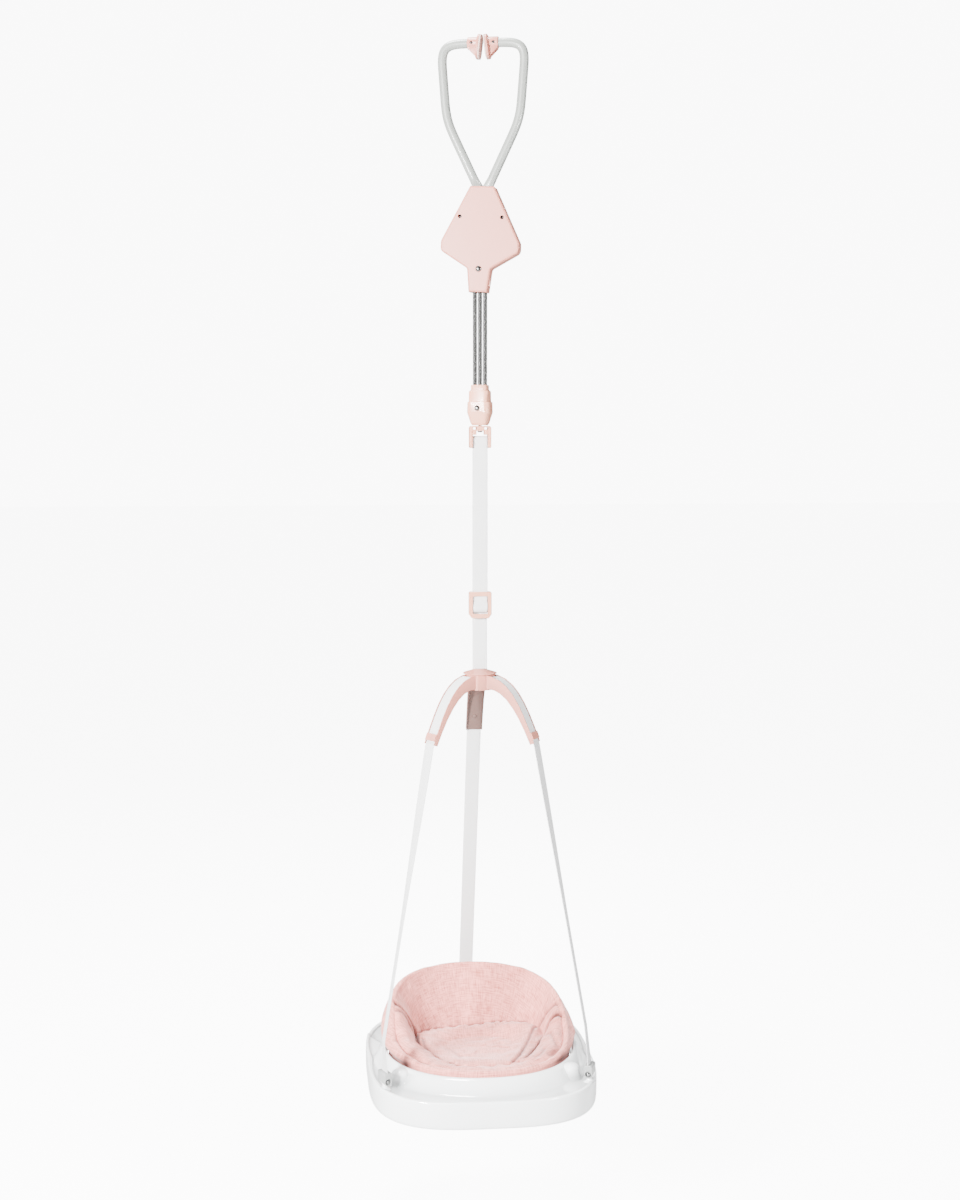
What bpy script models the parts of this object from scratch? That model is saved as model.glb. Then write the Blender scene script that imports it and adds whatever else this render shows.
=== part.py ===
"""Doorway baby jumper: clamp, springs, hanging strap, spreader, tray and sling seat.

Metres, +Z up. The origin is the point that the clamp grips, between its two pads. The seat faces -Y.
The clamp and the spring set hang turned about the vertical, as in use, and everything below the
swivel is square to the axes.
"""

import math

import bmesh
import bpy
import numpy as np
from mathutils import Vector

for old in list(bpy.data.objects):
    bpy.data.objects.remove(old, do_unlink=True)

# Clearances
GAP = 0.0003            # between pieces that touch
RUN = 0.0006            # between pieces that turn or slide
WALL = 0.0026           # moulded housing wall

# Turn of the clamp and of the spring set about the vertical, and roll of the clamp housing
CLAMP_YAW = math.radians(-16.0)
BARREL_YAW = math.radians(-23.0)
HOUSING_ROLL = math.radians(2.6)

# Clamp levers
PIVOT_Z = -0.2480       # height of the pin that the levers cross on
TUBE_R = 0.0076         # lever tube
SOCKET_Z = 0.0060       # height of the levers' upper ends
SOCKET_X = 0.0140       # where the tube ends inside its pad
SHOULDER_X = 0.0717     # outer top corner of the bow
WAIST_X = 0.0621        # lower corner of the bow
WAIST_Z = -0.1179
SHOULDER_BEND = 0.0300
WAIST_BEND = 0.0450
TAIL = 0.0380           # lever length past the pin
FLAT_THICK = 0.0060     # lever thickness where the tubes are pressed flat to cross
FLAT_WIDE = 0.0180
FLAT_GAP = 0.0010       # between the two flats
LEVER_SIDES = 10
PIN_R = 0.0040
PIN_BUSH = 0.0004       # play of the levers on the pin

# Pads
PAD_GAP = 0.0026        # between the two grip faces at their top, with the clamp closed
PAD_TILT = math.radians(7.0)
PAD_TOP = 0.0195
PAD_TALL = 0.0400
PAD_WIDE = 0.0320
PAD_THICK = 0.0036
PAD_CORNER = 0.0110     # round corners of the gripping plates
GUSSET_HALF = 0.0082    # half width of the gusset below each socket
RUBBER = 0.0025
SOCKET_END = 0.0260     # outer end of the socket
SOCKET_WALL = 0.0022
PAD_SCREW_X = 0.0185
PAD_SCREW_R = 0.0013
PAD_SCREW_HEAD = 0.0024
PAD_SCREW_SINK = 0.0012 # depth of the seats of the pad screws' heads

# Clamp housing, in the housing's own upright position
HOUSE_RISE = 0.0195     # top edge above the pin
HOUSE_TOP = PIVOT_Z + HOUSE_RISE
HOUSE_TOP_HALF = 0.0205
HOUSE_TALL = 0.1745     # from the top edge to the end of the neck
NECK_END = HOUSE_TOP - HOUSE_TALL
HOUSE_WIDE_Z = NECK_END + 0.0830
HOUSE_HALF = 0.0665
HOUSE_LOW_Z = HOUSE_WIDE_Z - 0.0160
NECK_Z = NECK_END + 0.0390
NECK_HALF = 0.0200
NECK_END_HALF = 0.0157
HOUSE_DEEP = 0.0150     # half of the housing's depth
HOUSE_ROUND = 0.0038    # rounding of the outer edges
CASE_SCREW_X = 0.0357
CASE_SCREW_DROP = 0.0310 # case screws below the pin
CASE_SCREW_Z = PIVOT_Z - CASE_SCREW_DROP
CASE_HOLE_R = 0.0033
CASE_BOSS_R = 0.0047
CASE_SHANK_R = 0.0016
CASE_SINK = 0.0065      # depth of the case screws' holes above their heads
PIN_SEAT = 0.0012       # depth of the pin's seats in the housing walls
BOLT_RISE = 0.0384      # hanger bolt above the end of the neck
BOLT_Z = NECK_END + BOLT_RISE
BOLT_R = 0.0030
BOLT_HEAD_R = 0.0052
NECK_STEP_Z = 0.0100    # small raised step on the neck, above its end
NECK_STEP_TALL = 0.0140
NECK_STEP_WIDE = 0.0026
NECK_STEP_DEEP = 0.0075
OPENING_ANGLE = math.radians(12.0)

# Springs
SPRING_SPACE = 0.0088
SPRING_R = 0.0026       # radius of the coil's centre line
WIRE_R = 0.0007
CURLS = 18
CURL_POINTS = 8
SPRING_LEG = 0.0310     # straight end of each spring
ANCHOR_TALL = 0.0120
ANCHOR_WIDE = 0.0240
ANCHOR_DEEP = 0.0070

# Spring holder
SPRING_SPAN = 0.2314    # between the hanger bolt and the holder's bolt, with the seat hanging
BARREL_BOLT_Z = BOLT_Z - SPRING_SPAN
BARREL_TOP = BARREL_BOLT_Z + 0.0390
BARREL_END = BARREL_BOLT_Z - 0.0287
BARREL_BOLT_R = 0.0024
BARREL_BOLT_HEAD_R = 0.0048
STUD_R = 0.0030
STUD_HEAD_R = 0.0058
WASHER_THICK = 0.0010

# Swivel fork
FORK_DROP = 0.0011      # play between the holder and the fork
FORK_TALL = 0.0372
FORK_TOP = BARREL_END - FORK_DROP
FORK_END = FORK_TOP - FORK_TALL
FORK_WIDE = 0.0367
FORK_DEEP = 0.0210
FORK_BAR = 0.0082
FORK_CHEEK = 0.0054
STRAP_PIN_Z = FORK_END + 0.0155
STRAP_PIN_R = 0.0035

# Webbing and buckle
WEB_WIDE = 0.0250
WEB_THICK = 0.0014
SEWN_END = 0.0120       # how far the sewn end stands above the buckle's middle bar
UPPER_STRAP = 0.2855    # from the fork's pin down to the buckle's middle bar
BUCKLE_BAR_Z = STRAP_PIN_Z - UPPER_STRAP
BUCKLE_TOP = BUCKLE_BAR_Z + 0.0260
BUCKLE_TALL = 0.0455
BUCKLE_END = BUCKLE_TOP - BUCKLE_TALL
BUCKLE_WIDE = 0.0387
BUCKLE_DEEP = 0.0130
BUCKLE_CHEEK = 0.0062
BUCKLE_BAR_TALL = 0.0075
BUCKLE_BAR_DEEP = 0.0036
BUCKLE_BAR_R = 0.0026
BUCKLE_SEAT = 0.0034    # depth of the middle bar's seats in the cheeks

# Spreader
LOWER_STRAP = 0.1150    # from the buckle's middle bar down to the spreader's top
HUB_TOP = BUCKLE_BAR_Z - LOWER_STRAP
HUB_R = 0.0240
HUB_DEEP = 0.0265
HUB_CROWN = 0.0080      # thickness of the hub above its pocket
HUB_POCKET_R = 0.0165
HUB_PIN_DROP = 0.0160
HUB_PIN_Z = HUB_TOP - HUB_PIN_DROP
HUB_PIN_R = 0.0028
SLOT_PLAY = 0.0008      # beside the strap in the slots of the hub and the cap
ARM_SINK = 0.0004       # how far the arms start below the hub's top
ARM_START = 0.0100
ARM_FLAT = 0.0600       # how far out the arms keep level
ARM_BEND_X = 0.0800
ARM_BEND_DROP = 0.0470
ARM_REACH = 0.1060      # tips of the arms from the middle
ARM_DROP = 0.1120       # and below the hub's top
ARM_CURVE = ((ARM_START, HUB_TOP - ARM_SINK), (ARM_FLAT, HUB_TOP - ARM_SINK),
             (ARM_BEND_X, HUB_TOP - ARM_BEND_DROP), (ARM_REACH, HUB_TOP - ARM_DROP))
ARM_FLANGE = 0.0016
ARM_WEB = 0.0024
ARM_ROOT_DEEP = 0.0255
ARM_TIP_DEEP = 0.0075
CHANNEL_DEEP = 0.0030
BRIDGE_THICK = 0.0018
BRIDGE_PLACE = (0.91, 0.97)
CAP_TOP_R = 0.0115
CAP_R = 0.0290
CAP_TALL = 0.0077
RIVET_PLACE = 0.86
RIVET_R = 0.0016
RIVET_HEAD_R = 0.0036
HARNESS_START = 0.12

# Strap clips on the tray
ANCHOR_IN = 0.0240      # the side clips' places inside the tray's widest line
ANCHOR_BACK = 0.0880    # and behind its front
REAR_ANCHOR_IN = 0.0150
CLIP_TURN = math.radians(22.0)
CLIP_HIGH = 0.0103      # the clips' cross pins above the tray's bosses
CLIP_TALL = 0.0148      # from the cross pin up to the flat top
CLIP_THICK = 0.0126
CLIP_LONG = 0.0280
CLIP_SLOT = 0.0065
CLIP_PIN_R = 0.0034
CLIP_PIN_SINK = 0.0020
CLIP_FOOT_R = 0.0042
CLIP_SCREW_R = 0.0015
CLIP_SCREW_HEAD_R = 0.0034
BOSS_RISE = 0.0025      # top of the bosses above the rim
BOSS_TALL = 0.0110
BOSS_R = 0.0050

# Tray, as seen from above: half width, and reach to the front and rear of its middle
TRAY_MIDDLE_Y = 0.0200
TRAY_HALF = 0.1970
TRAY_FRONT = 0.2360
TRAY_REAR = 0.2650
HOLE_HALF = TRAY_HALF - 0.0340
HOLE_FRONT = TRAY_FRONT - 0.0640
HOLE_REAR = TRAY_REAR - 0.0900
TRAY_STEPS = 44
HARNESS_DROP = 0.6575   # from the spreader's top down to the lip of the hole
LIP_TOP = HUB_TOP - HARNESS_DROP
RIM_TOP = LIP_TOP - 0.0195
TROUGH = 0.0030
TRAY_TALL = 0.0470      # height of the outer wall
TRAY_BOTTOM = RIM_TOP - TRAY_TALL
TRAY_WALL = 0.0026
HOLE_WALL = 0.0240      # height of the wall that lines the hole
RING_THICK = 0.0035
DOME_X = TRAY_HALF - 0.0540
DOME_Y = TRAY_MIDDLE_Y - TRAY_FRONT + 0.1160
DOME_R = 0.0170
DOME_TOP = LIP_TOP + 0.0015
ANCHOR_X = TRAY_HALF - ANCHOR_IN
ANCHOR_Y = TRAY_MIDDLE_Y - TRAY_FRONT + ANCHOR_BACK
REAR_ANCHOR_Y = TRAY_MIDDLE_Y + TRAY_REAR - REAR_ANCHOR_IN
BOSS_TOP = RIM_TOP + BOSS_RISE
CLIP_Z = BOSS_TOP + CLIP_HIGH

# Seat cloth
CLOTH_STEPS = 54
CLOTH_THICK = 0.0024
CLOTH_FRONT_Z = LIP_TOP + 0.0065
CLOTH_BACK_Z = LIP_TOP + 0.0985
CLOTH_HEM = 0.0055      # radius of the rolled top edge
CLOTH_CLEAR = 0.0042    # between the cloth and the wall of the hole
PAN_Z = LIP_TOP - 0.0080
PAN_RISE = 0.0070       # swell of the pan beside its seam
SIDE_SWELL = 0.0150     # swell of the sides and the front above their edges
BACK_SWELL = 0.0060
SLIT_DEEP = 0.0170      # how far the cloth dives at the leg slits
SLIT_TURN = math.radians(28.0)
SLIT_SPREAD = 0.42
# Seam round the pan: turn from the front in degrees, share of the way to the hole's edge, and height
# below the lip as a share of SEAM_FALL
SEAM_FALL = 0.0100
SEAM = ((0, 0.80, 0.05), (28, 0.76, 0.25), (42, 0.70, 0.55), (60, 0.65, 0.85), (85, 0.70, 0.05),
        (106, 0.80, -1.35), (124, 0.73, -0.95), (132, 0.64, 0.05), (180, 0.47, 0.75))
LEG_HALF_LONG = 0.0450
LEG_HALF_WIDE = 0.0058
LEG_X = HOLE_HALF * 0.580
LEG_Y = TRAY_MIDDLE_Y - 0.0480
LEG_LEAN = math.radians(24.0)


def material(name, colour, roughness, metallic=0.0):
    """Principled material with one colour, roughness and metallic value."""
    mat = bpy.data.materials.new(name)
    mat.use_nodes = True
    shader = mat.node_tree.nodes["Principled BSDF"]
    shader.inputs["Base Color"].default_value = (*colour, 1.0)
    shader.inputs["Roughness"].default_value = roughness
    shader.inputs["Metallic"].default_value = metallic
    return mat


PINK = ((0.82, 0.64, 0.59), 0.42)
CREAM = ((0.90, 0.76, 0.70), 0.40)
WHITE = ((0.80, 0.82, 0.82), 0.16)
TUBE_GREY = ((0.58, 0.60, 0.58), 0.45)
STEEL = ((0.45, 0.45, 0.43), 0.30, 1.0)
SPRING_STEEL = ((0.33, 0.33, 0.31), 0.34, 1.0)
RUBBER_PINK = ((0.60, 0.44, 0.40), 0.75)
WEBBING = ((0.78, 0.78, 0.78), 0.85)
CLOTH = ((0.82, 0.62, 0.57), 0.92)


def empty(name, parent=None, location=(0, 0, 0), rotation=(0, 0, 0)):
    """Empty that carries the pieces of one group."""
    holder = bpy.data.objects.new(name, None)
    bpy.context.collection.objects.link(holder)
    holder.parent = parent
    holder.location = location
    holder.rotation_euler = rotation
    return holder


def add(name, bm, look, parent=None, location=(0, 0, 0), smooth=True):
    """Turn a bmesh into a named object with its own material, under its parent."""
    bmesh.ops.recalc_face_normals(bm, faces=bm.faces)
    mesh = bpy.data.meshes.new(name)
    bm.to_mesh(mesh)
    bm.free()
    obj = bpy.data.objects.new(name, mesh)
    bpy.context.collection.objects.link(obj)
    obj.parent = parent
    obj.location = location
    if look is not None:
        obj.data.materials.append(material(name, *look))
        if smooth:
            mesh.shade_smooth()
            mesh.set_sharp_from_angle(angle=math.radians(35))
    return obj


def boolean(obj, bm, operation="DIFFERENCE", location=(0, 0, 0), parent=None):
    """Cut a shape out of obj, or join it on, with an exact Boolean in obj's frame or another."""
    tool = add(obj.name + "_tool", bm, None, parent or obj.parent, location)
    tool.hide_render = True
    tool.display_type = "WIRE"
    change = obj.modifiers.new(operation.lower(), "BOOLEAN")
    change.object = tool
    change.operation = operation
    change.solver = "EXACT"
    return obj


def loft(rings, closed=False):
    """Skin a row of equal rings of points. An open row gets flat ends, a closed one meets itself."""
    bm = bmesh.new()
    rows = [[bm.verts.new(point) for point in ring] for ring in rings]
    pairs = list(zip(rows, rows[1:]))
    if closed:
        pairs.append((rows[-1], rows[0]))
    for low, high in pairs:
        count = len(low)
        for i in range(count):
            j = (i + 1) % count
            bm.faces.new((low[i], low[j], high[j], high[i]))
    if not closed:
        bm.faces.new(rows[0][::-1])
        bm.faces.new(rows[-1])
    return bm


def box(x, y, z):
    """Box between the given pairs of x, y and z."""
    bm = bmesh.new()
    size = (x[1] - x[0], y[1] - y[0], z[1] - z[0])
    middle = ((x[0] + x[1]) / 2, (y[0] + y[1]) / 2, (z[0] + z[1]) / 2)
    bmesh.ops.create_cube(bm, size=1.0)
    bmesh.ops.scale(bm, vec=size, verts=bm.verts)
    bmesh.ops.translate(bm, vec=middle, verts=bm.verts)
    return bm


def turned(profile, start, axis, sides=14):
    """Revolve (distance along the axis, radius) points about an axis through start.

    A profile whose ends lie on the axis makes a closed solid, with flat ends where they don't.
    """
    along = Vector(axis).normalized()
    side = along.orthogonal().normalized()
    other = along.cross(side)
    rings = []
    for distance, radius in profile:
        centre = Vector(start) + along * distance
        ring = []
        for i in range(sides):
            turn = 2 * math.pi * i / sides
            ring.append(centre + (side * math.cos(turn) + other * math.sin(turn)) * radius)
        rings.append(ring)
    return loft(rings)


def rod(start, end, radius, sides=14):
    """Round bar from start to end."""
    along = Vector(end) - Vector(start)
    return turned(((0, radius), (along.length, radius)), start, along, sides)


def prism(outline, y0, y1, edge=0.0, both=False, steps=2):
    """Extrude an (x, z) outline from y0 to y1, with the edge at y1 or at both rounded in steps."""
    bm = bmesh.new()
    verts = [bm.verts.new((x, y0, z)) for x, z in outline]
    face = bm.faces.new(verts)
    made = bmesh.ops.extrude_face_region(bm, geom=[face])
    moved = [g for g in made["geom"] if isinstance(g, bmesh.types.BMVert)]
    bmesh.ops.translate(bm, vec=(0, y1 - y0, 0), verts=moved)
    bmesh.ops.recalc_face_normals(bm, faces=bm.faces)
    if edge:
        ends = (y0, y1) if both else (y1,)
        rims = [e for e in bm.edges if any(all(abs(v.co.y - y) < 1e-7 for v in e.verts) for y in ends)]
        bmesh.ops.bevel(bm, geom=rims, offset=edge, segments=steps, profile=0.5, affect="EDGES",
                        clamp_overlap=True)
    return bm


def arc_corner(before, corner, after, radius, steps=3):
    """Points of the arc that rounds one corner of a path."""
    corner = np.array(corner, float)
    back = np.array(before, float) - corner
    front = np.array(after, float) - corner
    back /= np.linalg.norm(back)
    front /= np.linalg.norm(front)
    half = math.acos(np.clip(back @ front, -1, 1)) / 2
    reach = radius / math.tan(half)
    bisector = (back + front) / np.linalg.norm(back + front)
    centre = corner + bisector * radius / math.sin(half)
    first = corner + back * reach - centre
    last = corner + front * reach - centre
    sweep = math.pi - 2 * half
    points = []
    for i in range(steps + 1):
        part = i / steps
        points.append(centre + (math.sin((1 - part) * sweep) * first
                                + math.sin(part * sweep) * last) / math.sin(sweep))
    return points


def round_outline(corners):
    """Closed outline from (point, radius) corners, each radius above zero turned into an arc."""
    points = []
    count = len(corners)
    for i, (corner, radius) in enumerate(corners):
        before = corners[i - 1][0]
        after = corners[(i + 1) % count][0]
        if radius > 0:
            points.extend(tuple(p) for p in arc_corner(before, corner, after, radius))
        else:
            points.append(corner)
    return points


def rounded_rectangle(wide, deep, radius, z, steps=3):
    """Ring of points round a rectangle with round corners, centred on the Z axis."""
    ring = []
    for quarter, (sx, sy) in enumerate(((1, 1), (-1, 1), (-1, -1), (1, -1))):
        cx = sx * (wide / 2 - radius)
        cy = sy * (deep / 2 - radius)
        for i in range(steps + 1):
            turn = (quarter + i / steps) * math.pi / 2
            ring.append((cx + radius * math.cos(turn), cy + radius * math.sin(turn), z))
    return ring


def smooth_step(value):
    """Zero below 0, one above 1, with an even start and end."""
    value = min(1.0, max(0.0, value))
    return value * value * (3 - 2 * value)


def ribbon(centres, normals, wide, thick):
    """Webbing of even width and thickness along a line, its flat side facing the normals."""
    centres = [Vector(c) for c in centres]
    rings = []
    for i, centre in enumerate(centres):
        along = centres[min(i + 1, len(centres) - 1)] - centres[max(i - 1, 0)]
        across = along.cross(Vector(normals[i])).normalized()
        out = across.cross(along).normalized()
        corners = ((-1, -1), (1, -1), (1, 1), (-1, 1))
        rings.append([centre + across * a * wide / 2 + out * b * thick / 2 for a, b in corners])
    return loft(rings)


# Clamp levers and pads
# Each lever is a steel tube bowed outwards above the pin and pressed flat where the two cross.
clamp = empty("clamp", rotation=(0, 0, CLAMP_YAW))
pivot_drop = (0, 0, -PIVOT_Z)


def lever_path(side):
    """Centre line of one lever from its pad to its tail: side is -1 for the left pad."""
    lean = math.atan2(WAIST_X, WAIST_Z - PIVOT_Z)
    tail = (-TAIL * math.sin(lean), PIVOT_Z - TAIL * math.cos(lean))
    start = (SOCKET_X, SOCKET_Z)
    shoulder = (SHOULDER_X, SOCKET_Z)
    waist = (WAIST_X, WAIST_Z)
    pivot = (0.0, PIVOT_Z)
    points = [start]
    points += arc_corner(start, shoulder, waist, SHOULDER_BEND, 7)
    points += arc_corner(shoulder, waist, pivot, WAIST_BEND, 6)
    last = np.array(points[-1])
    for part in (0.40, 0.62, 0.72, 0.79, 0.85, 0.90, 1.0):
        points.append(last + (np.array(pivot) - last) * part)
    points.append(tail)
    return [(side * x, z) for x, z in points]


def lever(name, side):
    """Tube lofted along the lever's line, from round to flat where it nears the pin."""
    path = lever_path(side)
    rings = []
    for i, (x, z) in enumerate(path):
        before = path[max(i - 1, 0)]
        after = path[min(i + 1, len(path) - 1)]
        along = Vector((after[0] - before[0], 0, after[1] - before[1])).normalized()
        across = along.cross(Vector((0, 1, 0)))
        above = math.hypot(x, z - PIVOT_Z) if z > PIVOT_Z else 0.0
        flat = smooth_step((0.038 - above) / 0.023)
        half_wide = TUBE_R + (FLAT_WIDE / 2 - TUBE_R) * flat
        half_deep = TUBE_R + (FLAT_THICK / 2 - TUBE_R) * flat
        shift = -side * (FLAT_THICK + FLAT_GAP) / 2 * flat
        centre = Vector((x, shift, z))
        ring = []
        for k in range(LEVER_SIDES):
            turn = 2 * math.pi * k / LEVER_SIDES
            ring.append(centre + across * half_wide * math.cos(turn)
                        + Vector((0, 1, 0)) * half_deep * math.sin(turn))
        rings.append(ring)
    axis = empty(name + "_axis", clamp, (0, 0, PIVOT_Z))
    obj = add(name, loft(rings), TUBE_GREY, axis, pivot_drop)
    boolean(obj, rod((0, -0.02, PIVOT_Z), (0, 0.02, PIVOT_Z), PIN_R + PIN_BUSH), location=pivot_drop)
    screw = (side * PAD_SCREW_X, 0, SOCKET_Z)
    boolean(obj, rod((screw[0], -0.02, screw[2]), (screw[0], -0.0015, screw[2]), PAD_SCREW_R + GAP, 12),
            location=pivot_drop)
    return axis


left_axis = lever("left_lever", -1)
right_axis = lever("right_lever", 1)


def pad_point(side, inward, down, y=0.0):
    """Point of a tilted pad plate: inward from its grip face and down from its top edge."""
    top = Vector((PAD_GAP / 2, 0, PAD_TOP))
    fall = Vector((math.sin(PAD_TILT), 0, -math.cos(PAD_TILT)))
    out = Vector((math.cos(PAD_TILT), 0, math.sin(PAD_TILT)))
    point = top + fall * down + out * inward
    return (side * point.x, y, point.z)


def pad_plate(side, layers):
    """Plate with round corners through (inward, edge drawn in) layers, parallel to the grip face."""
    rings = []
    for inward, drawn in layers:
        half = PAD_WIDE / 2 - drawn
        low = PAD_TALL - drawn
        outline = round_outline([((-half, drawn), PAD_CORNER), ((half, drawn), PAD_CORNER),
                                 ((half, low), PAD_CORNER), ((-half, low), PAD_CORNER)])
        rings.append([pad_point(side, inward, down, y) for y, down in outline])
    return loft(rings)


def flat_prism(points, half):
    """Extrude a row of pad points evenly to both sides."""
    return prism([(x, z) for x, y, z in points], -half, half)


def pad(side, word, axis):
    """Moulded pad, its rubber facing and the screw that holds its socket on the tube."""
    front = RUBBER + GAP
    back = front + PAD_THICK
    plate = pad_plate(side, ((front, 0.0), (back - 0.0012, 0.0), (back, 0.0012)))
    obj = add(word + "_pad", plate, PINK, axis, pivot_drop)
    socket_r = TUBE_R + GAP + SOCKET_WALL
    mouth = side * SOCKET_END
    root = PAD_GAP / 2 + back
    socket = turned(((0, socket_r - 0.0008), (0.0008, socket_r), (SOCKET_END - root + 0.001, socket_r)),
                    (mouth, 0, SOCKET_Z), (-side, 0, 0), 20)
    boolean(obj, socket, "UNION", pivot_drop)
    edge = mouth - side * 0.0012
    wing = [pad_point(side, back - 0.0010, 0.012), pad_point(side, back - 0.0005, PAD_TALL - 0.0030),
            (edge, 0, SOCKET_Z - socket_r * 0.94), (edge, 0, SOCKET_Z)]
    boolean(obj, flat_prism(wing, GUSSET_HALF), "UNION", pivot_drop)
    edge = mouth - side * 0.0040
    hollow = [pad_point(side, back + 0.0010, 0.028), pad_point(side, back + 0.0010, PAD_TALL + 0.002),
              (edge, 0, SOCKET_Z - socket_r - 0.0040), (edge, 0, SOCKET_Z - socket_r - 0.0004)]
    boolean(obj, flat_prism(hollow, GUSSET_HALF - WALL), location=pivot_drop)
    bore = rod((mouth + side * 0.002, 0, SOCKET_Z), (side * (SOCKET_X - GAP), 0, SOCKET_Z), TUBE_R + GAP, 20)
    boolean(obj, bore, location=pivot_drop)
    x = side * PAD_SCREW_X
    face = -socket_r
    hole = turned(((0, PAD_SCREW_HEAD + GAP), (PAD_SCREW_SINK + 0.001, PAD_SCREW_HEAD + GAP),
                   (PAD_SCREW_SINK + 0.0011, PAD_SCREW_R + GAP), (0.0150, PAD_SCREW_R + GAP)),
                  (x, face - 0.001, SOCKET_Z), (0, 1, 0), 12)
    boolean(obj, hole, location=pivot_drop)
    head = face + PAD_SCREW_SINK - GAP / 2
    screw = turned(((0, PAD_SCREW_HEAD * 0.6), (0.0003, PAD_SCREW_HEAD), (0.0008, PAD_SCREW_HEAD),
                    (0.0009, PAD_SCREW_R), (0.0060, PAD_SCREW_R)),
                   (x, head - 0.0008, SOCKET_Z), (0, 1, 0), 12)
    add(word + "_pad_screw", screw, STEEL, axis, pivot_drop)
    add(word + "_pad_rubber", pad_plate(side, ((0.0, 0.0), (RUBBER, 0.0))), RUBBER_PINK, axis, pivot_drop)


pad(-1, "left", left_axis)
pad(1, "right", right_axis)


def inset(outline, distance):
    """Closed (x, z) outline moved inwards by a distance, its corners mitred."""
    points = np.array(outline, float)
    ahead = np.roll(points, -1, axis=0) - points
    ahead /= np.linalg.norm(ahead, axis=1)[:, None]
    area = np.sum(points[:, 0] * np.roll(points[:, 1], -1) - np.roll(points[:, 0], -1) * points[:, 1])
    normal = np.stack((-ahead[:, 1], ahead[:, 0]), axis=1) * np.sign(area)
    before = np.roll(normal, 1, axis=0)
    mitre = (normal + before) / (1 + np.sum(normal * before, axis=1))[:, None]
    return [tuple(p) for p in points + mitre * distance]


def wire(name, points, radius, look, parent=None, location=(0, 0, 0), resolution=1):
    """Round wire along a list of points, with flat ends."""
    curve = bpy.data.curves.new(name, "CURVE")
    curve.dimensions = "3D"
    curve.bevel_depth = radius
    curve.bevel_resolution = resolution
    curve.use_fill_caps = True
    spline = curve.splines.new("POLY")
    spline.points.add(len(points) - 1)
    for spot, point in zip(spline.points, points):
        spot.co = (*point, 1.0)
    obj = bpy.data.objects.new(name, curve)
    bpy.context.collection.objects.link(obj)
    obj.parent = parent
    obj.location = location
    curve.materials.append(material(name, *look))
    return obj


def least_gap(name, points, radius, apart):
    """Print the least gap of a wound wire to itself, between points at least this many steps apart."""
    line = np.array([tuple(p) for p in points])
    space = np.linalg.norm(line[:, None] - line[None], axis=2)
    steps = np.abs(np.arange(len(line))[:, None] - np.arange(len(line))[None])
    print(name, "least gap to itself", round((space[steps >= apart].min() - 2 * radius) * 1000, 2), "mm")


# Clamp housing
# Two moulded shells shaped like a kite, screwed together round the crossing of the levers.
house = empty("housing_frame", clamp, (0, 0, PIVOT_Z), (0, HOUSING_ROLL, 0))


def house_outline():
    """Outline of the housing, from its flat top down to the end of its neck."""
    right = [((HOUSE_TOP_HALF, HOUSE_TOP), 0.0030), ((HOUSE_HALF, HOUSE_WIDE_Z), 0.0160),
             ((HOUSE_HALF, HOUSE_LOW_Z), 0.0090), ((NECK_HALF, NECK_Z), 0.0060),
             ((NECK_END_HALF, NECK_END), 0.0)]
    left = [((-x, z), radius) for (x, z), radius in reversed(right)]
    return round_outline(right + left)


def mouth_outline():
    """Opening that the two levers leave by, wide enough for their full swing."""
    swing = math.atan2(WAIST_X, WAIST_Z - PIVOT_Z) + OPENING_ANGLE
    reach = (FLAT_WIDE / 2 + RUN) / math.cos(swing)
    low = 0.0060
    high = HOUSE_TOP - PIVOT_Z + 0.010
    right = [(low * math.tan(swing) + reach, PIVOT_Z + low), (high * math.tan(swing) + reach, PIVOT_Z + high)]
    return right + [(-x, z) for x, z in reversed(right)]


def housing(name, face, look):
    """One shell: face is -1 for the front. The other shell's screws and pin seat in the same places."""
    split = face * GAP / 2
    outer = face * HOUSE_DEEP
    floor = face * (HOUSE_DEEP - WALL)
    obj = add(name, prism(house_outline(), split, outer, HOUSE_ROUND), look, house, pivot_drop)
    boolean(obj, prism(inset(house_outline(), WALL), -face * 0.001, floor), location=pivot_drop)
    slot = (NECK_END_HALF - WALL)
    boolean(obj, box((-slot, slot), sorted((-face * 0.001, floor)), (NECK_END - 0.002, NECK_END + 0.006)),
            location=pivot_drop)
    for side in (-1, 1):
        x = side * CASE_SCREW_X
        post = rod((x, split, CASE_SCREW_Z), (x, floor + face * 0.0005, CASE_SCREW_Z), CASE_BOSS_R)
        boolean(obj, post, "UNION", pivot_drop)
        if face < 0:
            ledge = outer + CASE_SINK
            hole = turned(((0, CASE_HOLE_R), (0.001 + CASE_SINK, CASE_HOLE_R),
                           (0.0011 + CASE_SINK, CASE_SHANK_R + GAP), (0.0200, CASE_SHANK_R + GAP)),
                          (x, ledge - CASE_SINK - 0.001, CASE_SCREW_Z), (0, 1, 0))
        else:
            hole = rod((x, -0.001, CASE_SCREW_Z), (x, 0.0095, CASE_SCREW_Z), CASE_SHANK_R + GAP)
        boolean(obj, hole, location=pivot_drop)
    seat = rod((0, 0, PIVOT_Z), (0, floor + face * PIN_SEAT, PIVOT_Z), PIN_R + GAP)
    boolean(obj, seat, location=pivot_drop)
    bolt = rod((0, 0, BOLT_Z), (0, outer * 1.2, BOLT_Z), BOLT_R + GAP)
    boolean(obj, bolt, location=pivot_drop)
    depth = TUBE_R + RUN
    boolean(obj, prism(mouth_outline(), -depth, depth), location=pivot_drop, parent=clamp)
    obj.modifiers[-1].object.location = (0, 0, 0)
    return obj


front = housing("housing_front", -1, PINK)
rear = housing("housing_rear", 1, PINK)
step_x = (NECK_HALF + NECK_END_HALF) / 2 + 0.0016 - NECK_STEP_WIDE
step_z = NECK_END + NECK_STEP_Z
boolean(front, box((step_x, step_x + NECK_STEP_WIDE), (-0.0020 - NECK_STEP_DEEP, -0.0020),
                   (step_z, step_z + NECK_STEP_TALL)), "UNION", pivot_drop)

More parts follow.
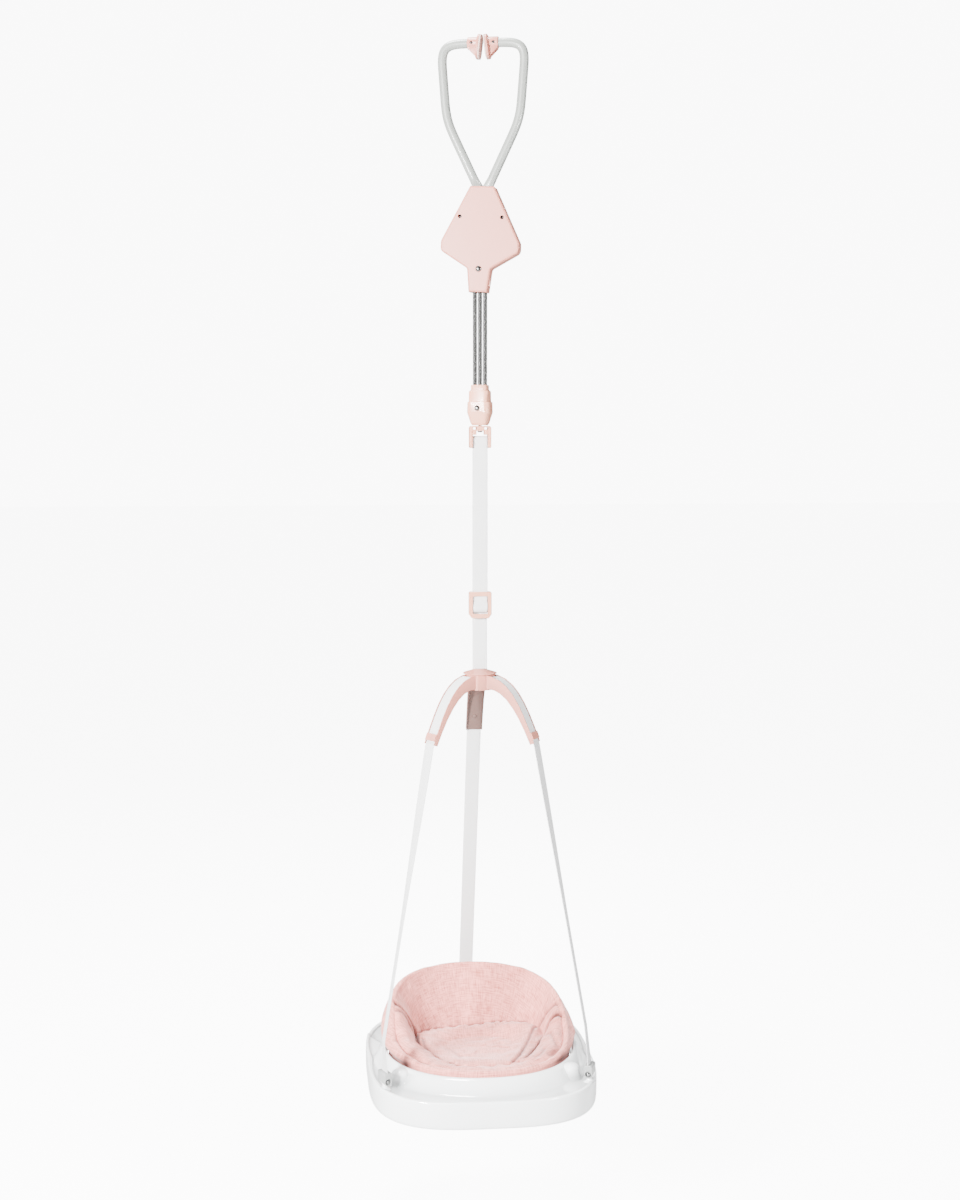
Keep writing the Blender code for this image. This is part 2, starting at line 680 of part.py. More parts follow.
for side, word in ((-1, "left"), (1, "right")):
    sink = -HOUSE_DEEP + CASE_SINK
    screw = turned(((0, 0.0016), (0.0004, 0.0026), (0.0016, CASE_HOLE_R - GAP), (0.0017, CASE_SHANK_R),
                    (0.0160, CASE_SHANK_R)), (side * CASE_SCREW_X, sink - 0.0016 - GAP / 2, CASE_SCREW_Z), (0, 1, 0))
    add("case_screw_" + word, screw, STEEL, house, pivot_drop)

pin_half = HOUSE_DEEP - WALL + PIN_SEAT - GAP
add("pivot_pin", rod((0, -pin_half, 0), (0, pin_half, 0), PIN_R), STEEL, house)

# Closing spring of the levers, wound round the pin in front of them
COIL_R = 0.0066
COIL_WIRE_R = 0.0008
COIL_PITCH = 0.00205
COIL_REACH = (0.0235, 0.0265)   # how far each leg reaches out and down


def closing_spring():
    """Two straight legs joined by a coil that they meet at a tangent."""
    out, down = COIL_REACH
    spread = math.acos(COIL_R / math.hypot(out, down))
    first = math.atan2(-down, -out) + spread
    last = math.atan2(-down, out) - spread
    sweep = (last - first) % (2 * math.pi) + 2 * math.pi
    near = -(FLAT_THICK + FLAT_GAP / 2) - COIL_WIRE_R - GAP
    steps = 22
    points = [Vector((-out, near, -down))]
    for i in range(steps + 1):
        turn = first + sweep * i / steps
        y = near - COIL_PITCH * sweep / (2 * math.pi) * i / steps
        points.append(Vector((COIL_R * math.cos(turn), y, COIL_R * math.sin(turn))))
    points.append(Vector((out, points[-1].y, -down)))
    return points


closing = closing_spring()
least_gap("clamp_spring", closing[1:-1], COIL_WIRE_R, 6)
wire("clamp_spring", closing, COIL_WIRE_R, SPRING_STEEL, house)


def bolt_and_nut(word, z, shank, head, half, parent, location=(0, 0, 0)):
    """Domed bolt through a housing of this half depth along Y, with its nut behind."""
    face = -half - GAP
    rise = head * 0.58
    back = half + GAP
    profile = [(0, head * 0.30), (rise * 0.18, head * 0.62), (rise * 0.5, head * 0.90), (rise, head),
               (rise + 0.0001, shank), (rise - face + back + 0.0034, shank)]
    add(word + "_bolt", turned(profile, (0, face - rise, z), (0, 1, 0)), STEEL, parent, location)
    nut = add(word + "_nut", rod((0, back, z), (0, back + 0.0026, z), head, 6), STEEL, parent, location, False)
    boolean(nut, rod((0, back - 0.001, z), (0, back + 0.004, z), shank + GAP), location=location)


bolt_and_nut("hanger", BOLT_Z, BOLT_R, BOLT_HEAD_R, HOUSE_DEEP, house, pivot_drop)

# Spring anchors and springs
# The upper anchor hangs on the hanger bolt and the lower one on the spring holder's bolt.
drop = PIVOT_Z - BOLT_Z
line_offset = -drop * math.sin(HOUSING_ROLL)
line_z = PIVOT_Z - drop * math.cos(HOUSING_ROLL)
LINE_X = line_offset * math.cos(CLAMP_YAW)
LINE_Y = line_offset * math.sin(CLAMP_YAW)
hanging = empty("hanging_line", None, (LINE_X, LINE_Y, 0))
upper_turn = empty("upper_turn", hanging, rotation=(0, 0, CLAMP_YAW))
bounce = empty("bounce_axis", hanging, rotation=(0, 0, BARREL_YAW))


def anchor(name, z, shank, parent):
    """Bar that one end of the three springs is fixed to."""
    outline = round_outline([((ANCHOR_WIDE / 2 * a, z + ANCHOR_TALL / 2 * b), 0.0022)
                             for a, b in ((-1, -1), (1, -1), (1, 1), (-1, 1))])
    obj = add(name, prism(outline, -ANCHOR_DEEP / 2, ANCHOR_DEEP / 2), STEEL, parent)
    boolean(obj, rod((0, -0.01, z), (0, 0.01, z), shank + GAP))


anchor("spring_anchor_upper", line_z, BOLT_R, upper_turn)
anchor("spring_anchor_lower", BARREL_BOLT_Z, BARREL_BOLT_R, bounce)


def spring_points(place):
    """Extension spring from anchor to anchor: straight ends on its axis and a coil between them."""
    high = line_z - ANCHOR_TALL / 2 - GAP
    low = BARREL_BOLT_Z + ANCHOR_TALL / 2 + GAP
    top = Vector((math.cos(CLAMP_YAW) * place, math.sin(CLAMP_YAW) * place, high))
    bottom = Vector((math.cos(BARREL_YAW) * place, math.sin(BARREL_YAW) * place, low))
    points = [top, top + Vector((0, 0, -2 * WIRE_R))]
    total = CURLS * CURL_POINTS
    first = high - SPRING_LEG
    last = low + SPRING_LEG
    for i in range(total + 1):
        share = i / total
        turn = 2 * math.pi * i / CURL_POINTS
        radius = SPRING_R * smooth_step(min(i, total - i) / (0.9 * CURL_POINTS))
        height = first + (last - first) * share
        centre = top + (bottom - top) * (high - height) / (high - low)
        points.append(centre + Vector((math.cos(turn) * radius, math.sin(turn) * radius, 0)))
    points += [bottom + Vector((0, 0, 2 * WIRE_R)), bottom]
    return points


for place, word in ((-SPRING_SPACE, "left"), (0.0, "middle"), (SPRING_SPACE, "right")):
    coil = spring_points(place)
    least_gap("spring_" + word, coil[2:-2], WIRE_R, CURL_POINTS // 2)
    wire("spring_" + word, coil, WIRE_R, SPRING_STEEL, hanging)

# Spring holder
# Two moulded shells round the lower anchor, with a floor that the swivel stud hangs in.
COLLAR_WALL = 0.0013
FLOOR_THICK = 0.0045
BARREL_RINGS = ((0.0000, 0.0270, 0.0230), (-0.0008, 0.0280, 0.0240), (-0.0080, 0.0280, 0.0240),
                (-0.0110, 0.0340, 0.0300), (-0.0280, 0.0345, 0.0305), (-0.0289, 0.0385, 0.0335),
                (-0.0460, 0.0398, 0.0340), (-0.0640, 0.0290, 0.0255), (-0.0677, 0.0240, 0.0210))
BARREL_HALF = BARREL_RINGS[5][2] / 2


def barrel_rings(inside):
    """Rounded rectangles that the spring holder is lofted through, or those of its hollow."""
    rings = []
    for drop_z, wide, deep in BARREL_RINGS:
        z = BARREL_TOP + drop_z
        wall = 2 * ((COLLAR_WALL if drop_z > -0.009 else WALL) if inside else 0.0)
        if inside and z < BARREL_END + FLOOR_THICK:
            continue
        rings.append(rounded_rectangle(wide - wall, deep - wall, 0.2 * wide, z))
    if inside:
        rings[0] = [(x, y, z + 0.001) for x, y, z in rings[1]]
        rings[0] = [(x, y, BARREL_TOP + 0.001) for x, y, z in rings[0]]
        rings.append([(x * 0.78, y * 0.78, BARREL_END + FLOOR_THICK) for x, y, z in rings[-1]])
    return rings


def barrel(name, face):
    """One shell of the spring holder: face is -1 for the front."""
    obj = add(name, loft(barrel_rings(False)), CREAM, bounce)
    boolean(obj, loft(barrel_rings(True)))
    y = sorted((face * GAP / 2, -face * 0.03))
    boolean(obj, box((-0.03, 0.03), y, (BARREL_END - 0.005, BARREL_TOP + 0.005)))
    bolt = rod((0, 0, BARREL_BOLT_Z), (0, face * 0.03, BARREL_BOLT_Z), BARREL_BOLT_R + GAP)
    boolean(obj, bolt)
    neck = rod((0, 0, BARREL_END - 0.002), (0, 0, BARREL_END + FLOOR_THICK + 0.002), STUD_R + RUN)
    boolean(obj, neck)
    return obj


front = barrel("barrel_front", -1)
rear = barrel("barrel_rear", 1)
for side in (-1, 1):
    x = sorted((side * 0.0175, side * 0.0206))
    boolean(rear, box(x, (GAP / 2, 0.0060), (BARREL_BOLT_Z - 0.0050, BARREL_BOLT_Z + 0.0045)), "UNION")
boolean(rear, loft(barrel_rings(True)))
bolt_and_nut("barrel", BARREL_BOLT_Z, BARREL_BOLT_R, BARREL_BOLT_HEAD_R, BARREL_HALF + 0.0002, bounce)

floor_top = BARREL_END + FLOOR_THICK
washer = add("swivel_washer", rod((0, 0, floor_top + GAP), (0, 0, floor_top + GAP + WASHER_THICK), STUD_HEAD_R + 0.0008),
             STEEL, bounce)
boolean(washer, rod((0, 0, floor_top - 0.001), (0, 0, floor_top + 0.004), STUD_R + RUN))

# Swivel stud and fork
swivel = empty("swivel_axis", hanging)
bar_low = FORK_TOP - FORK_BAR
stud_top = floor_top + 2 * GAP + WASHER_THICK
stud = turned(((0, STUD_HEAD_R * 0.8), (0.0006, STUD_HEAD_R), (0.0024, STUD_HEAD_R), (0.0025, STUD_R),
               (stud_top + 0.0024 - bar_low + GAP, STUD_R),
               (stud_top + 0.0025 - bar_low + GAP, STUD_HEAD_R * 0.8),
               (stud_top + 0.0045 - bar_low + GAP, STUD_HEAD_R * 0.6)), (0, 0, stud_top + 0.0024), (0, 0, -1))
add("swivel_stud", stud, STEEL, swivel)


def fork():
    """Inverted U whose cheeks hold the strap's pin, with two oval holes in its top bar."""
    half = FORK_WIDE / 2
    inner = half - FORK_CHEEK
    outline = round_outline([((half, FORK_TOP), 0.0035), ((half, FORK_END), 0.0024),
                             ((inner, FORK_END), 0.0024), ((inner, bar_low), 0.0015),
                             ((-inner, bar_low), 0.0015), ((-inner, FORK_END), 0.0024),
                             ((-half, FORK_END), 0.0024), ((-half, FORK_TOP), 0.0035)])
    obj = add("swivel_fork", prism(outline, -FORK_DEEP / 2, FORK_DEEP / 2, 0.0012, True, 1), CREAM, swivel)
    boolean(obj, rod((0, 0, FORK_TOP + 0.002), (0, 0, bar_low - 0.002), STUD_R + GAP))
    middle = (FORK_TOP + bar_low) / 2
    for side in (-1, 1):
        x = side * half * 0.52
        oval = round_outline([((x + 0.0034 * a, middle + 0.0020 * b), 0.0019)
                              for a, b in ((-1, -1), (1, -1), (1, 1), (-1, 1))])
        boolean(obj, prism(oval, -0.02, 0.02))
    boolean(obj, rod((-inner - 0.0036, 0, STRAP_PIN_Z), (inner + 0.0036, 0, STRAP_PIN_Z), STRAP_PIN_R + GAP))
    reach = inner + 0.0036 - GAP
    add("strap_pin", rod((-reach, 0, STRAP_PIN_Z), (reach, 0, STRAP_PIN_Z), STRAP_PIN_R), STEEL, swivel)


fork()


# Hanging strap and height buckle
# The strap is looped over the fork's pin. One end is sewn round the buckle's middle bar and the other
# passes behind that bar and goes on down to the spreader.
swing = empty("swing_axis", swivel, (0, 0, STRAP_PIN_Z))
buckle_axis = empty("buckle_axis", swing)
seat = empty("seat_axis", buckle_axis)
swing_drop = (0, 0, -STRAP_PIN_Z)
wrap = BUCKLE_BAR_R + GAP + WEB_THICK / 2
over = STRAP_PIN_R + GAP + WEB_THICK / 2
behind = wrap + WEB_THICK + GAP
strand_end = BUCKLE_BAR_Z - 0.0015


def turn_points(z, radius, first, last, steps=6):
    """Points round a pin at height z, in the plane across it, between two angles in degrees."""
    turns = np.radians(np.linspace(first, last, steps + 1))
    return [Vector((0, radius * math.cos(turn), z + radius * math.sin(turn))) for turn in turns]


def strap(name, points, parent):
    """Webbing whose width lies along X, through points in the plane across it."""
    normals = []
    for i in range(len(points)):
        along = points[min(i + 1, len(points) - 1)] - points[max(i - 1, 0)]
        normals.append(Vector((0, along.z, -along.y)))
    return add(name, ribbon(points, normals, WEB_WIDE, WEB_THICK), WEBBING, parent, swing_drop)


upper = [Vector((0, wrap, BUCKLE_BAR_Z + SEWN_END))]
upper += turn_points(BUCKLE_BAR_Z, wrap, 0, -180)
upper += turn_points(STRAP_PIN_Z, over, 180, 0)
upper += [Vector((0, behind, BUCKLE_TOP + 0.010)), Vector((0, behind, strand_end))]
strap("strap_upper", upper, swing)


def buckle():
    """Frame with a bar at its top and bottom in front of the strap, and the round bar between."""
    half = BUCKLE_WIDE / 2
    inner = half - BUCKLE_CHEEK
    front = -(wrap + WEB_THICK / 2 + GAP + BUCKLE_BAR_DEEP)
    outline = round_outline([((half, BUCKLE_TOP), 0.0030), ((half, BUCKLE_END + 0.0070), 0.0020),
                             ((half - 0.0050, BUCKLE_END), 0.0020), ((-half + 0.0050, BUCKLE_END), 0.0020),
                             ((-half, BUCKLE_END + 0.0070), 0.0020), ((-half, BUCKLE_TOP), 0.0030)])
    obj = add("buckle_frame", prism(outline, front + BUCKLE_DEEP, front, 0.0010, True, 1), CREAM,
              buckle_axis, swing_drop)
    clear = box((-inner, inner), (front + BUCKLE_BAR_DEEP, 0.02), (BUCKLE_END - 0.01, BUCKLE_TOP + 0.01))
    boolean(obj, clear, location=swing_drop)
    low = BUCKLE_END + BUCKLE_BAR_TALL
    high = BUCKLE_TOP - BUCKLE_BAR_TALL
    window = round_outline([((inner * a, z), 0.0020) for a, z in ((1, high), (1, low), (-1, low), (-1, high))])
    boolean(obj, prism(window, -0.02, 0.02), location=swing_drop)
    reach = inner + BUCKLE_SEAT
    hole = rod((-reach, 0, BUCKLE_BAR_Z), (reach, 0, BUCKLE_BAR_Z), BUCKLE_BAR_R + GAP)
    boolean(obj, hole, location=swing_drop)
    bar = rod((-reach + GAP, 0, BUCKLE_BAR_Z), (reach - GAP, 0, BUCKLE_BAR_Z), BUCKLE_BAR_R)
    add("buckle_bar", bar, STEEL, buckle_axis, swing_drop)


buckle()

hub_wrap = HUB_PIN_R + GAP + WEB_THICK / 2
lower = [Vector((0, behind, strand_end - GAP)), Vector((0, behind, BUCKLE_END - 0.010)),
         Vector((0, hub_wrap, HUB_TOP + 0.030))]
lower += turn_points(HUB_PIN_Z, hub_wrap, 0, -180)
lower.append(Vector((0, -hub_wrap, HUB_PIN_Z + 0.0050)))
strap("strap_lower", lower, buckle_axis)

# Spreader
# A round hub with three arms. Each arm is a curved channel: a web between two flanges that are deep at
# the hub and shallow at the tip, with the strap lying in its outer side below a small bridge.
ARM_TURNS = {"left": math.radians(-150), "right": math.radians(-30), "rear": math.radians(90)}
ARM_WIDE = WEB_WIDE + 2 * (ARM_FLANGE + GAP)
ARM_SHARES = [i / 8 for i in range(9)]


def arm_frame(share, turn):
    """Point of an arm's outer line, its direction, the way out of the channel and the way across."""
    ends = [np.array(p) for p in ARM_CURVE]
    rest = 1 - share
    point = (rest ** 3 * ends[0] + 3 * rest ** 2 * share * ends[1] + 3 * rest * share ** 2 * ends[2]
             + share ** 3 * ends[3])
    slope = (rest ** 2 * (ends[1] - ends[0]) + 2 * rest * share * (ends[2] - ends[1])
             + share ** 2 * (ends[3] - ends[2]))
    radial = Vector((math.cos(turn), math.sin(turn), 0))
    along = (radial * slope[0] + Vector((0, 0, slope[1]))).normalized()
    across = Vector((-math.sin(turn), math.cos(turn), 0))
    return radial * point[0] + Vector((0, 0, point[1])), along, along.cross(across), across


def arm_point(share, turn, width, depth):
    """Point of an arm, width to one side of its middle and depth below its outer line."""
    point, along, out, across = arm_frame(share, turn)
    return point + across * width - out * depth


def arm(turn):
    """Loft of one arm's channel from the hub to its tip."""
    half = ARM_WIDE / 2
    inner = half - ARM_FLANGE
    rings = []
    for share in ARM_SHARES:
        deep = ARM_TIP_DEEP + (ARM_ROOT_DEEP - ARM_TIP_DEEP) * (1 - share) ** 1.3
        floor = CHANNEL_DEEP + ARM_WEB
        section = ((-half, 0), (-inner, 0), (-inner, CHANNEL_DEEP), (inner, CHANNEL_DEEP), (inner, 0),
                   (half, 0), (half, deep), (inner, deep), (inner, floor), (-inner, floor),
                   (-inner, deep), (-half, deep))
        rings.append([arm_point(share, turn, width, depth) for width, depth in section])
    return loft(rings)


def bridge(turn):
    """Small bar across the channel near the arm's tip, over the strap."""
    half = ARM_WIDE / 2 - 0.0004
    return loft([[arm_point(share, turn, width * half, depth) for width, depth in
                  ((-1, 0.0006), (1, 0.0006), (1, -BRIDGE_THICK), (-1, -BRIDGE_THICK))]
                 for share in BRIDGE_PLACE])


hub_low = HUB_TOP - HUB_DEEP
spreader = add("spreader", rod((0, 0, hub_low), (0, 0, HUB_TOP), HUB_R, 24), PINK, seat, swing_drop)
for turn in ARM_TURNS.values():
    boolean(spreader, arm(turn), "UNION", swing_drop)
    boolean(spreader, bridge(turn), "UNION", swing_drop)
pocket = rod((0, 0, hub_low - 0.01), (0, 0, HUB_TOP - HUB_CROWN), HUB_POCKET_R, 24)
boolean(spreader, pocket, location=swing_drop)
slot_y = (hub_wrap - WEB_THICK / 2 - SLOT_PLAY, hub_wrap + WEB_THICK / 2 + SLOT_PLAY)
slot_x = (-WEB_WIDE / 2 - RUN, WEB_WIDE / 2 + RUN)
boolean(spreader, box(slot_x, slot_y, (HUB_TOP - 2 * HUB_CROWN, HUB_TOP + HUB_CROWN)), location=swing_drop)
hub_reach = HUB_POCKET_R + 0.0040
boolean(spreader, rod((-hub_reach, 0, HUB_PIN_Z), (hub_reach, 0, HUB_PIN_Z), HUB_PIN_R + GAP), location=swing_drop)
hub_pin = rod((-hub_reach + GAP, 0, HUB_PIN_Z), (hub_reach - GAP, 0, HUB_PIN_Z), HUB_PIN_R)
add("spreader_pin", hub_pin, STEEL, seat, swing_drop)

cap = turned(((0, CAP_TOP_R - 0.0015), (0.0008, CAP_TOP_R), (CAP_TALL - 0.0014, CAP_R), (CAP_TALL, CAP_R)),
             (0, 0, HUB_TOP + GAP + CAP_TALL), (0, 0, -1), 24)
cap = add("spreader_cap", cap, PINK, seat, swing_drop)
boolean(cap, box(slot_x, slot_y, (HUB_TOP - CAP_TALL, HUB_TOP + 3 * CAP_TALL)), location=swing_drop)

# Harness straps, their clips on the tray and the rivets that hold them in the arms
for word, turn in ARM_TURNS.items():
    point, along, out, across = arm_frame(RIVET_PLACE, turn)
    web_low = point - out * (CHANNEL_DEEP + ARM_WEB)
    hole = rod(web_low - out * 0.004, web_low + out * 0.004, RIVET_R + GAP, 12)
    boolean(spreader, hole, location=swing_drop)
    rivet = turned(((0, RIVET_HEAD_R * 0.6), (0.0007, RIVET_HEAD_R), (0.0015, RIVET_HEAD_R), (0.0016, RIVET_R),
                    (0.0015 + GAP + ARM_WEB, RIVET_R)), web_low - out * (0.0015 + GAP), out, 12)
    add("spreader_rivet_" + word, rivet, STEEL, seat, swing_drop)

ANCHORS = {"left": (-ANCHOR_X, ANCHOR_Y, -math.pi + CLIP_TURN), "right": (ANCHOR_X, ANCHOR_Y, -CLIP_TURN),
           "rear": (0.0, REAR_ANCHOR_Y, math.pi / 2)}


def harness(word):
    """Strap from under the cap along an arm's channel and down into its clip."""
    turn = ARM_TURNS[word]
    x, y, clip_turn = ANCHORS[word]
    bed = CHANNEL_DEEP - GAP - WEB_THICK / 2
    shares = [HARNESS_START] + [share for share in ARM_SHARES if share > HARNESS_START]
    centres = [arm_point(share, turn, 0, bed) for share in shares]
    normals = [arm_frame(share, turn)[2] for share in shares]
    centres.append(centres[-1] + arm_frame(1, turn)[1] * 0.0030)
    normals.append(normals[-1])
    tip = centres[-1]
    end = Vector((x, y, CLIP_Z + CLIP_TALL - CLIP_SLOT + GAP))
    knee = Vector((x, y, CLIP_Z + CLIP_TALL + 0.0060))
    for share in (0.15, 0.4, 0.7, 0.9, 1.0):
        twist = turn + (clip_turn - turn) * smooth_step(share / 0.7)
        centres.append(tip + (knee - tip) * share)
        normals.append(Vector((math.cos(twist), math.sin(twist), 0)))
    centres.append(end)
    normals.append(normals[-1])
    add("harness_" + word, ribbon(centres, normals, WEB_WIDE, WEB_THICK), WEBBING, seat, swing_drop)


def clip(word):
    """Moulded strap end: a flat-topped block with a round lower side, a cross pin and a screwed foot."""
    x, y, turn = ANCHORS[word]
    holder = empty("clip_place_" + word, seat, (x, y, -STRAP_PIN_Z), (0, 0, turn - math.pi / 2))
    half = CLIP_THICK / 2
    sweep = [math.pi * i / 8 for i in range(9)]
    profile = [(half * math.cos(a), CLIP_Z - half * math.sin(a)) for a in sweep]
    profile += [(-half, CLIP_Z + CLIP_TALL - 0.0015), (-half + 0.0015, CLIP_Z + CLIP_TALL),
                (half - 0.0015, CLIP_Z + CLIP_TALL), (half, CLIP_Z + CLIP_TALL - 0.0015)]
    rings = [[(u, v, z) for v, z in profile] for u in (-CLIP_LONG / 2, CLIP_LONG / 2)]
    obj = add("clip_" + word, loft(rings), WHITE, holder)
    foot = rod((0, 0, BOSS_TOP + GAP), (0, 0, CLIP_Z - half * 0.6), CLIP_FOOT_R)
    boolean(obj, foot, "UNION")
    boolean(obj, rod((-0.02, 0, CLIP_Z), (0.02, 0, CLIP_Z), CLIP_PIN_R + GAP))
    slot = WEB_THICK / 2 + GAP
    wide = WEB_WIDE / 2 + GAP
    boolean(obj, box((-wide, wide), (-slot, slot), (CLIP_Z + CLIP_TALL - CLIP_SLOT, CLIP_Z + 0.02)))
    deep = CLIP_Z - CLIP_PIN_R - GAP - 0.0006
    boolean(obj, rod((0, 0, BOSS_TOP - 0.01), (0, 0, deep - 0.0005), CLIP_SCREW_R + GAP, 12))
    reach = CLIP_LONG / 2 - CLIP_PIN_SINK
    add("clip_pin_" + word, rod((-reach, 0, CLIP_Z), (reach, 0, CLIP_Z), CLIP_PIN_R), STEEL, holder)
    low = BOSS_TOP - BOSS_TALL - GAP
    screw = turned(((0, 0.0022), (0.0006, CLIP_SCREW_HEAD_R), (0.0018, CLIP_SCREW_HEAD_R), (0.0019, CLIP_SCREW_R),
                    (deep - 0.0010 - low + 0.0018, CLIP_SCREW_R)), (0, 0, low - 0.0018), (0, 0, 1), 12)
    add("clip_screw_" + word, screw, STEEL, holder)


for word in ARM_TURNS:
    harness(word)
    clip(word)

# Tray
# One glossy moulding shaped like an egg from above: an outer wall, a rim, a shallow trough and a broad
# roll that rises to the lip of the seat's hole.


def egg(turn, half, front, rear, power):
    """Point of a superellipse whose front and rear reach differ, about the tray's middle."""
    across = math.cos(turn)
    along = math.sin(turn)
    x = half * math.copysign(abs(across) ** (2 / power), across)
    y = TRAY_MIDDLE_Y + (rear if along > 0 else front) * math.copysign(abs(along) ** (2 / power), along)
    return np.array((x, y))


def tray_edges(turn):
    """Outer edge, way inwards and width of the tray in one direction from its middle."""
    outer = egg(turn, TRAY_HALF, TRAY_FRONT, TRAY_REAR, 3.2)
    inner = egg(turn, HOLE_HALF, HOLE_FRONT, HOLE_REAR, 2.2)
    width = float(np.linalg.norm(inner - outer))
    return outer, (inner - outer) / width, width


def offset_line(line, distance):
    """Open line of (d, z) points moved to its right by a distance."""
    points = np.array(line)
    ahead = np.gradient(points, axis=0)
    ahead /= np.linalg.norm(ahead, axis=1)[:, None]
    return points + np.stack((ahead[:, 1], -ahead[:, 0]), axis=1) * distance


def tray_section(width):
    """Section of the moulding's wall from the bottom of its outer wall over the top to the hole."""
    trough = RIM_TOP - TROUGH
    roll = [(0.0110 + (width - 0.0150) * part, trough + (LIP_TOP - trough) * smooth_step(part * 0.9))
            for part in (0.35, 0.7)]
    line = [(0.0060, TRAY_BOTTOM), (0.0004, TRAY_BOTTOM + 0.0090), (0.0, RIM_TOP - 0.0060), (0.0035, RIM_TOP),
            (0.0110, trough), *roll, (width - 0.0040, LIP_TOP), (width, LIP_TOP - 0.0040),
            (width, LIP_TOP - HOLE_WALL)]
    under = offset_line(line, TRAY_WALL)
    kept = [9, 8, 6, 4, 2, 1, 0]
    return line + [tuple(under[i]) for i in kept]


def tray():
    """Moulding lofted round the hole, with its two domes and the bosses of the strap clips."""
    rings = []
    for i in range(TRAY_STEPS):
        turn = 2 * math.pi * i / TRAY_STEPS
        outer, inward, width = tray_edges(turn)
        rings.append([(*(outer + inward * d), z) for d, z in tray_section(width)])
    obj = add("tray", loft(rings, closed=True), WHITE, seat, swing_drop)
    for side in (-1, 1):
        dome = turned(((0, 0.004), (0.0007, 0.008), (0.0024, 0.0122), (0.0054, 0.0155), (0.0095, DOME_R),
                       (0.0150, DOME_R)), (side * DOME_X, DOME_Y, DOME_TOP), (0, 0, -1))
        boolean(obj, dome, "UNION", swing_drop)
    for x, y, turn in ANCHORS.values():
        boss = rod((x, y, BOSS_TOP - BOSS_TALL), (x, y, BOSS_TOP), BOSS_R)
        boolean(obj, boss, "UNION", swing_drop)
        hole = rod((x, y, BOSS_TOP - BOSS_TALL - 0.01), (x, y, BOSS_TOP + 0.01), CLIP_SCREW_R + GAP, 12)
        boolean(obj, hole, location=swing_drop)


tray()


def tray_ring():
    """Flat ring under the hole's wall, which holds the seat cloth's edge up against it."""
    rings = []
    top = LIP_TOP - HOLE_WALL - GAP
    for i in range(TRAY_STEPS):
        outer, inward, width = tray_edges(2 * math.pi * i / TRAY_STEPS)
        section = ((width - 0.0120, top), (width + 0.0010, top), (width + 0.0010, top - RING_THICK),
                   (width - 0.0120, top - RING_THICK))
        rings.append([(*(outer + inward * d), z) for d, z in section])
    add("tray_ring", loft(rings, closed=True), WHITE, seat, swing_drop)


tray_ring()

# Seat cloth
# A sling of soft cloth, held under the hole by the ring. Its outer side rises to a rolled top edge, its
# inner side falls from there to the seam round the pan, and two leg slits lie beside the pan.


def seam_value(from_front, place):
    """Value of the seam's row at a turn from the front, evened between its points."""
    for low, high in zip(SEAM, SEAM[1:]):
        if from_front <= high[0]:
            return low[place] + (high[place] - low[place]) * smooth_step((from_front - low[0]) / (high[0] - low[0]))
    return SEAM[-1][place]


def cloth_line(turn):
    """Cloth's outer face in one direction, as (distance, height) from the ring up, over and to the pan."""
    edge = egg(turn, HOLE_HALF, HOLE_FRONT, HOLE_REAR, 2.2) - np.array((0.0, TRAY_MIDDLE_Y))
    reach = float(np.linalg.norm(edge)) - CLOTH_CLEAR
    from_front = abs(math.degrees((turn + math.pi / 2 + math.pi) % (2 * math.pi) - math.pi))
    back = smooth_step(edge[1] / (0.93 * HOLE_REAR))
    swelled = 1 - smooth_step((edge[1] - 0.01) / 0.085)
    top = CLOTH_FRONT_Z + (CLOTH_BACK_Z - CLOTH_FRONT_Z) * back
    side_turn = abs(from_front - 90 + math.degrees(SLIT_TURN))
    dive = 0.0020 + (SLIT_DEEP - 0.0020) * math.exp(-(math.radians(side_turn) / SLIT_SPREAD) ** 2)
    seam_r = seam_value(from_front, 1) * reach
    seam_z = LIP_TOP - SEAM_FALL * seam_value(from_front, 2)
    line = [(reach, LIP_TOP - HOLE_WALL + GAP), (reach, top - CLOTH_HEM)]
    for part in (0.35, 0.75):
        line.append((reach - CLOTH_HEM * (1 - math.cos(math.pi * part)),
                     top - CLOTH_HEM + CLOTH_HEM * math.sin(math.pi * part)))
    start = (reach - 2 * CLOTH_HEM, top - CLOTH_HEM)
    for part in (0.16, 0.38, 0.62, 0.84, 1.0):
        fall = (1 - (1 - part) ** 1.7) * back + part * (1 - back)
        swell = SIDE_SWELL * swelled * math.sin(math.pi * part * 0.94) ** 0.7 + BACK_SWELL * back * math.sin(math.pi * part)
        line.append((start[0] + (seam_r - start[0]) * part,
                     start[1] + (seam_z - start[1]) * fall + swell - dive * smooth_step((part - 0.80) / 0.20)))
    for part in (0.18, 0.45, 0.75, 0.98):
        rest = smooth_step(part / 0.55)
        rise = PAN_RISE * math.sin(math.pi * min(1.0, part / 0.5))
        line.append((seam_r * (1 - part), seam_z * (1 - rest) + PAN_Z * rest + rise))
    return line


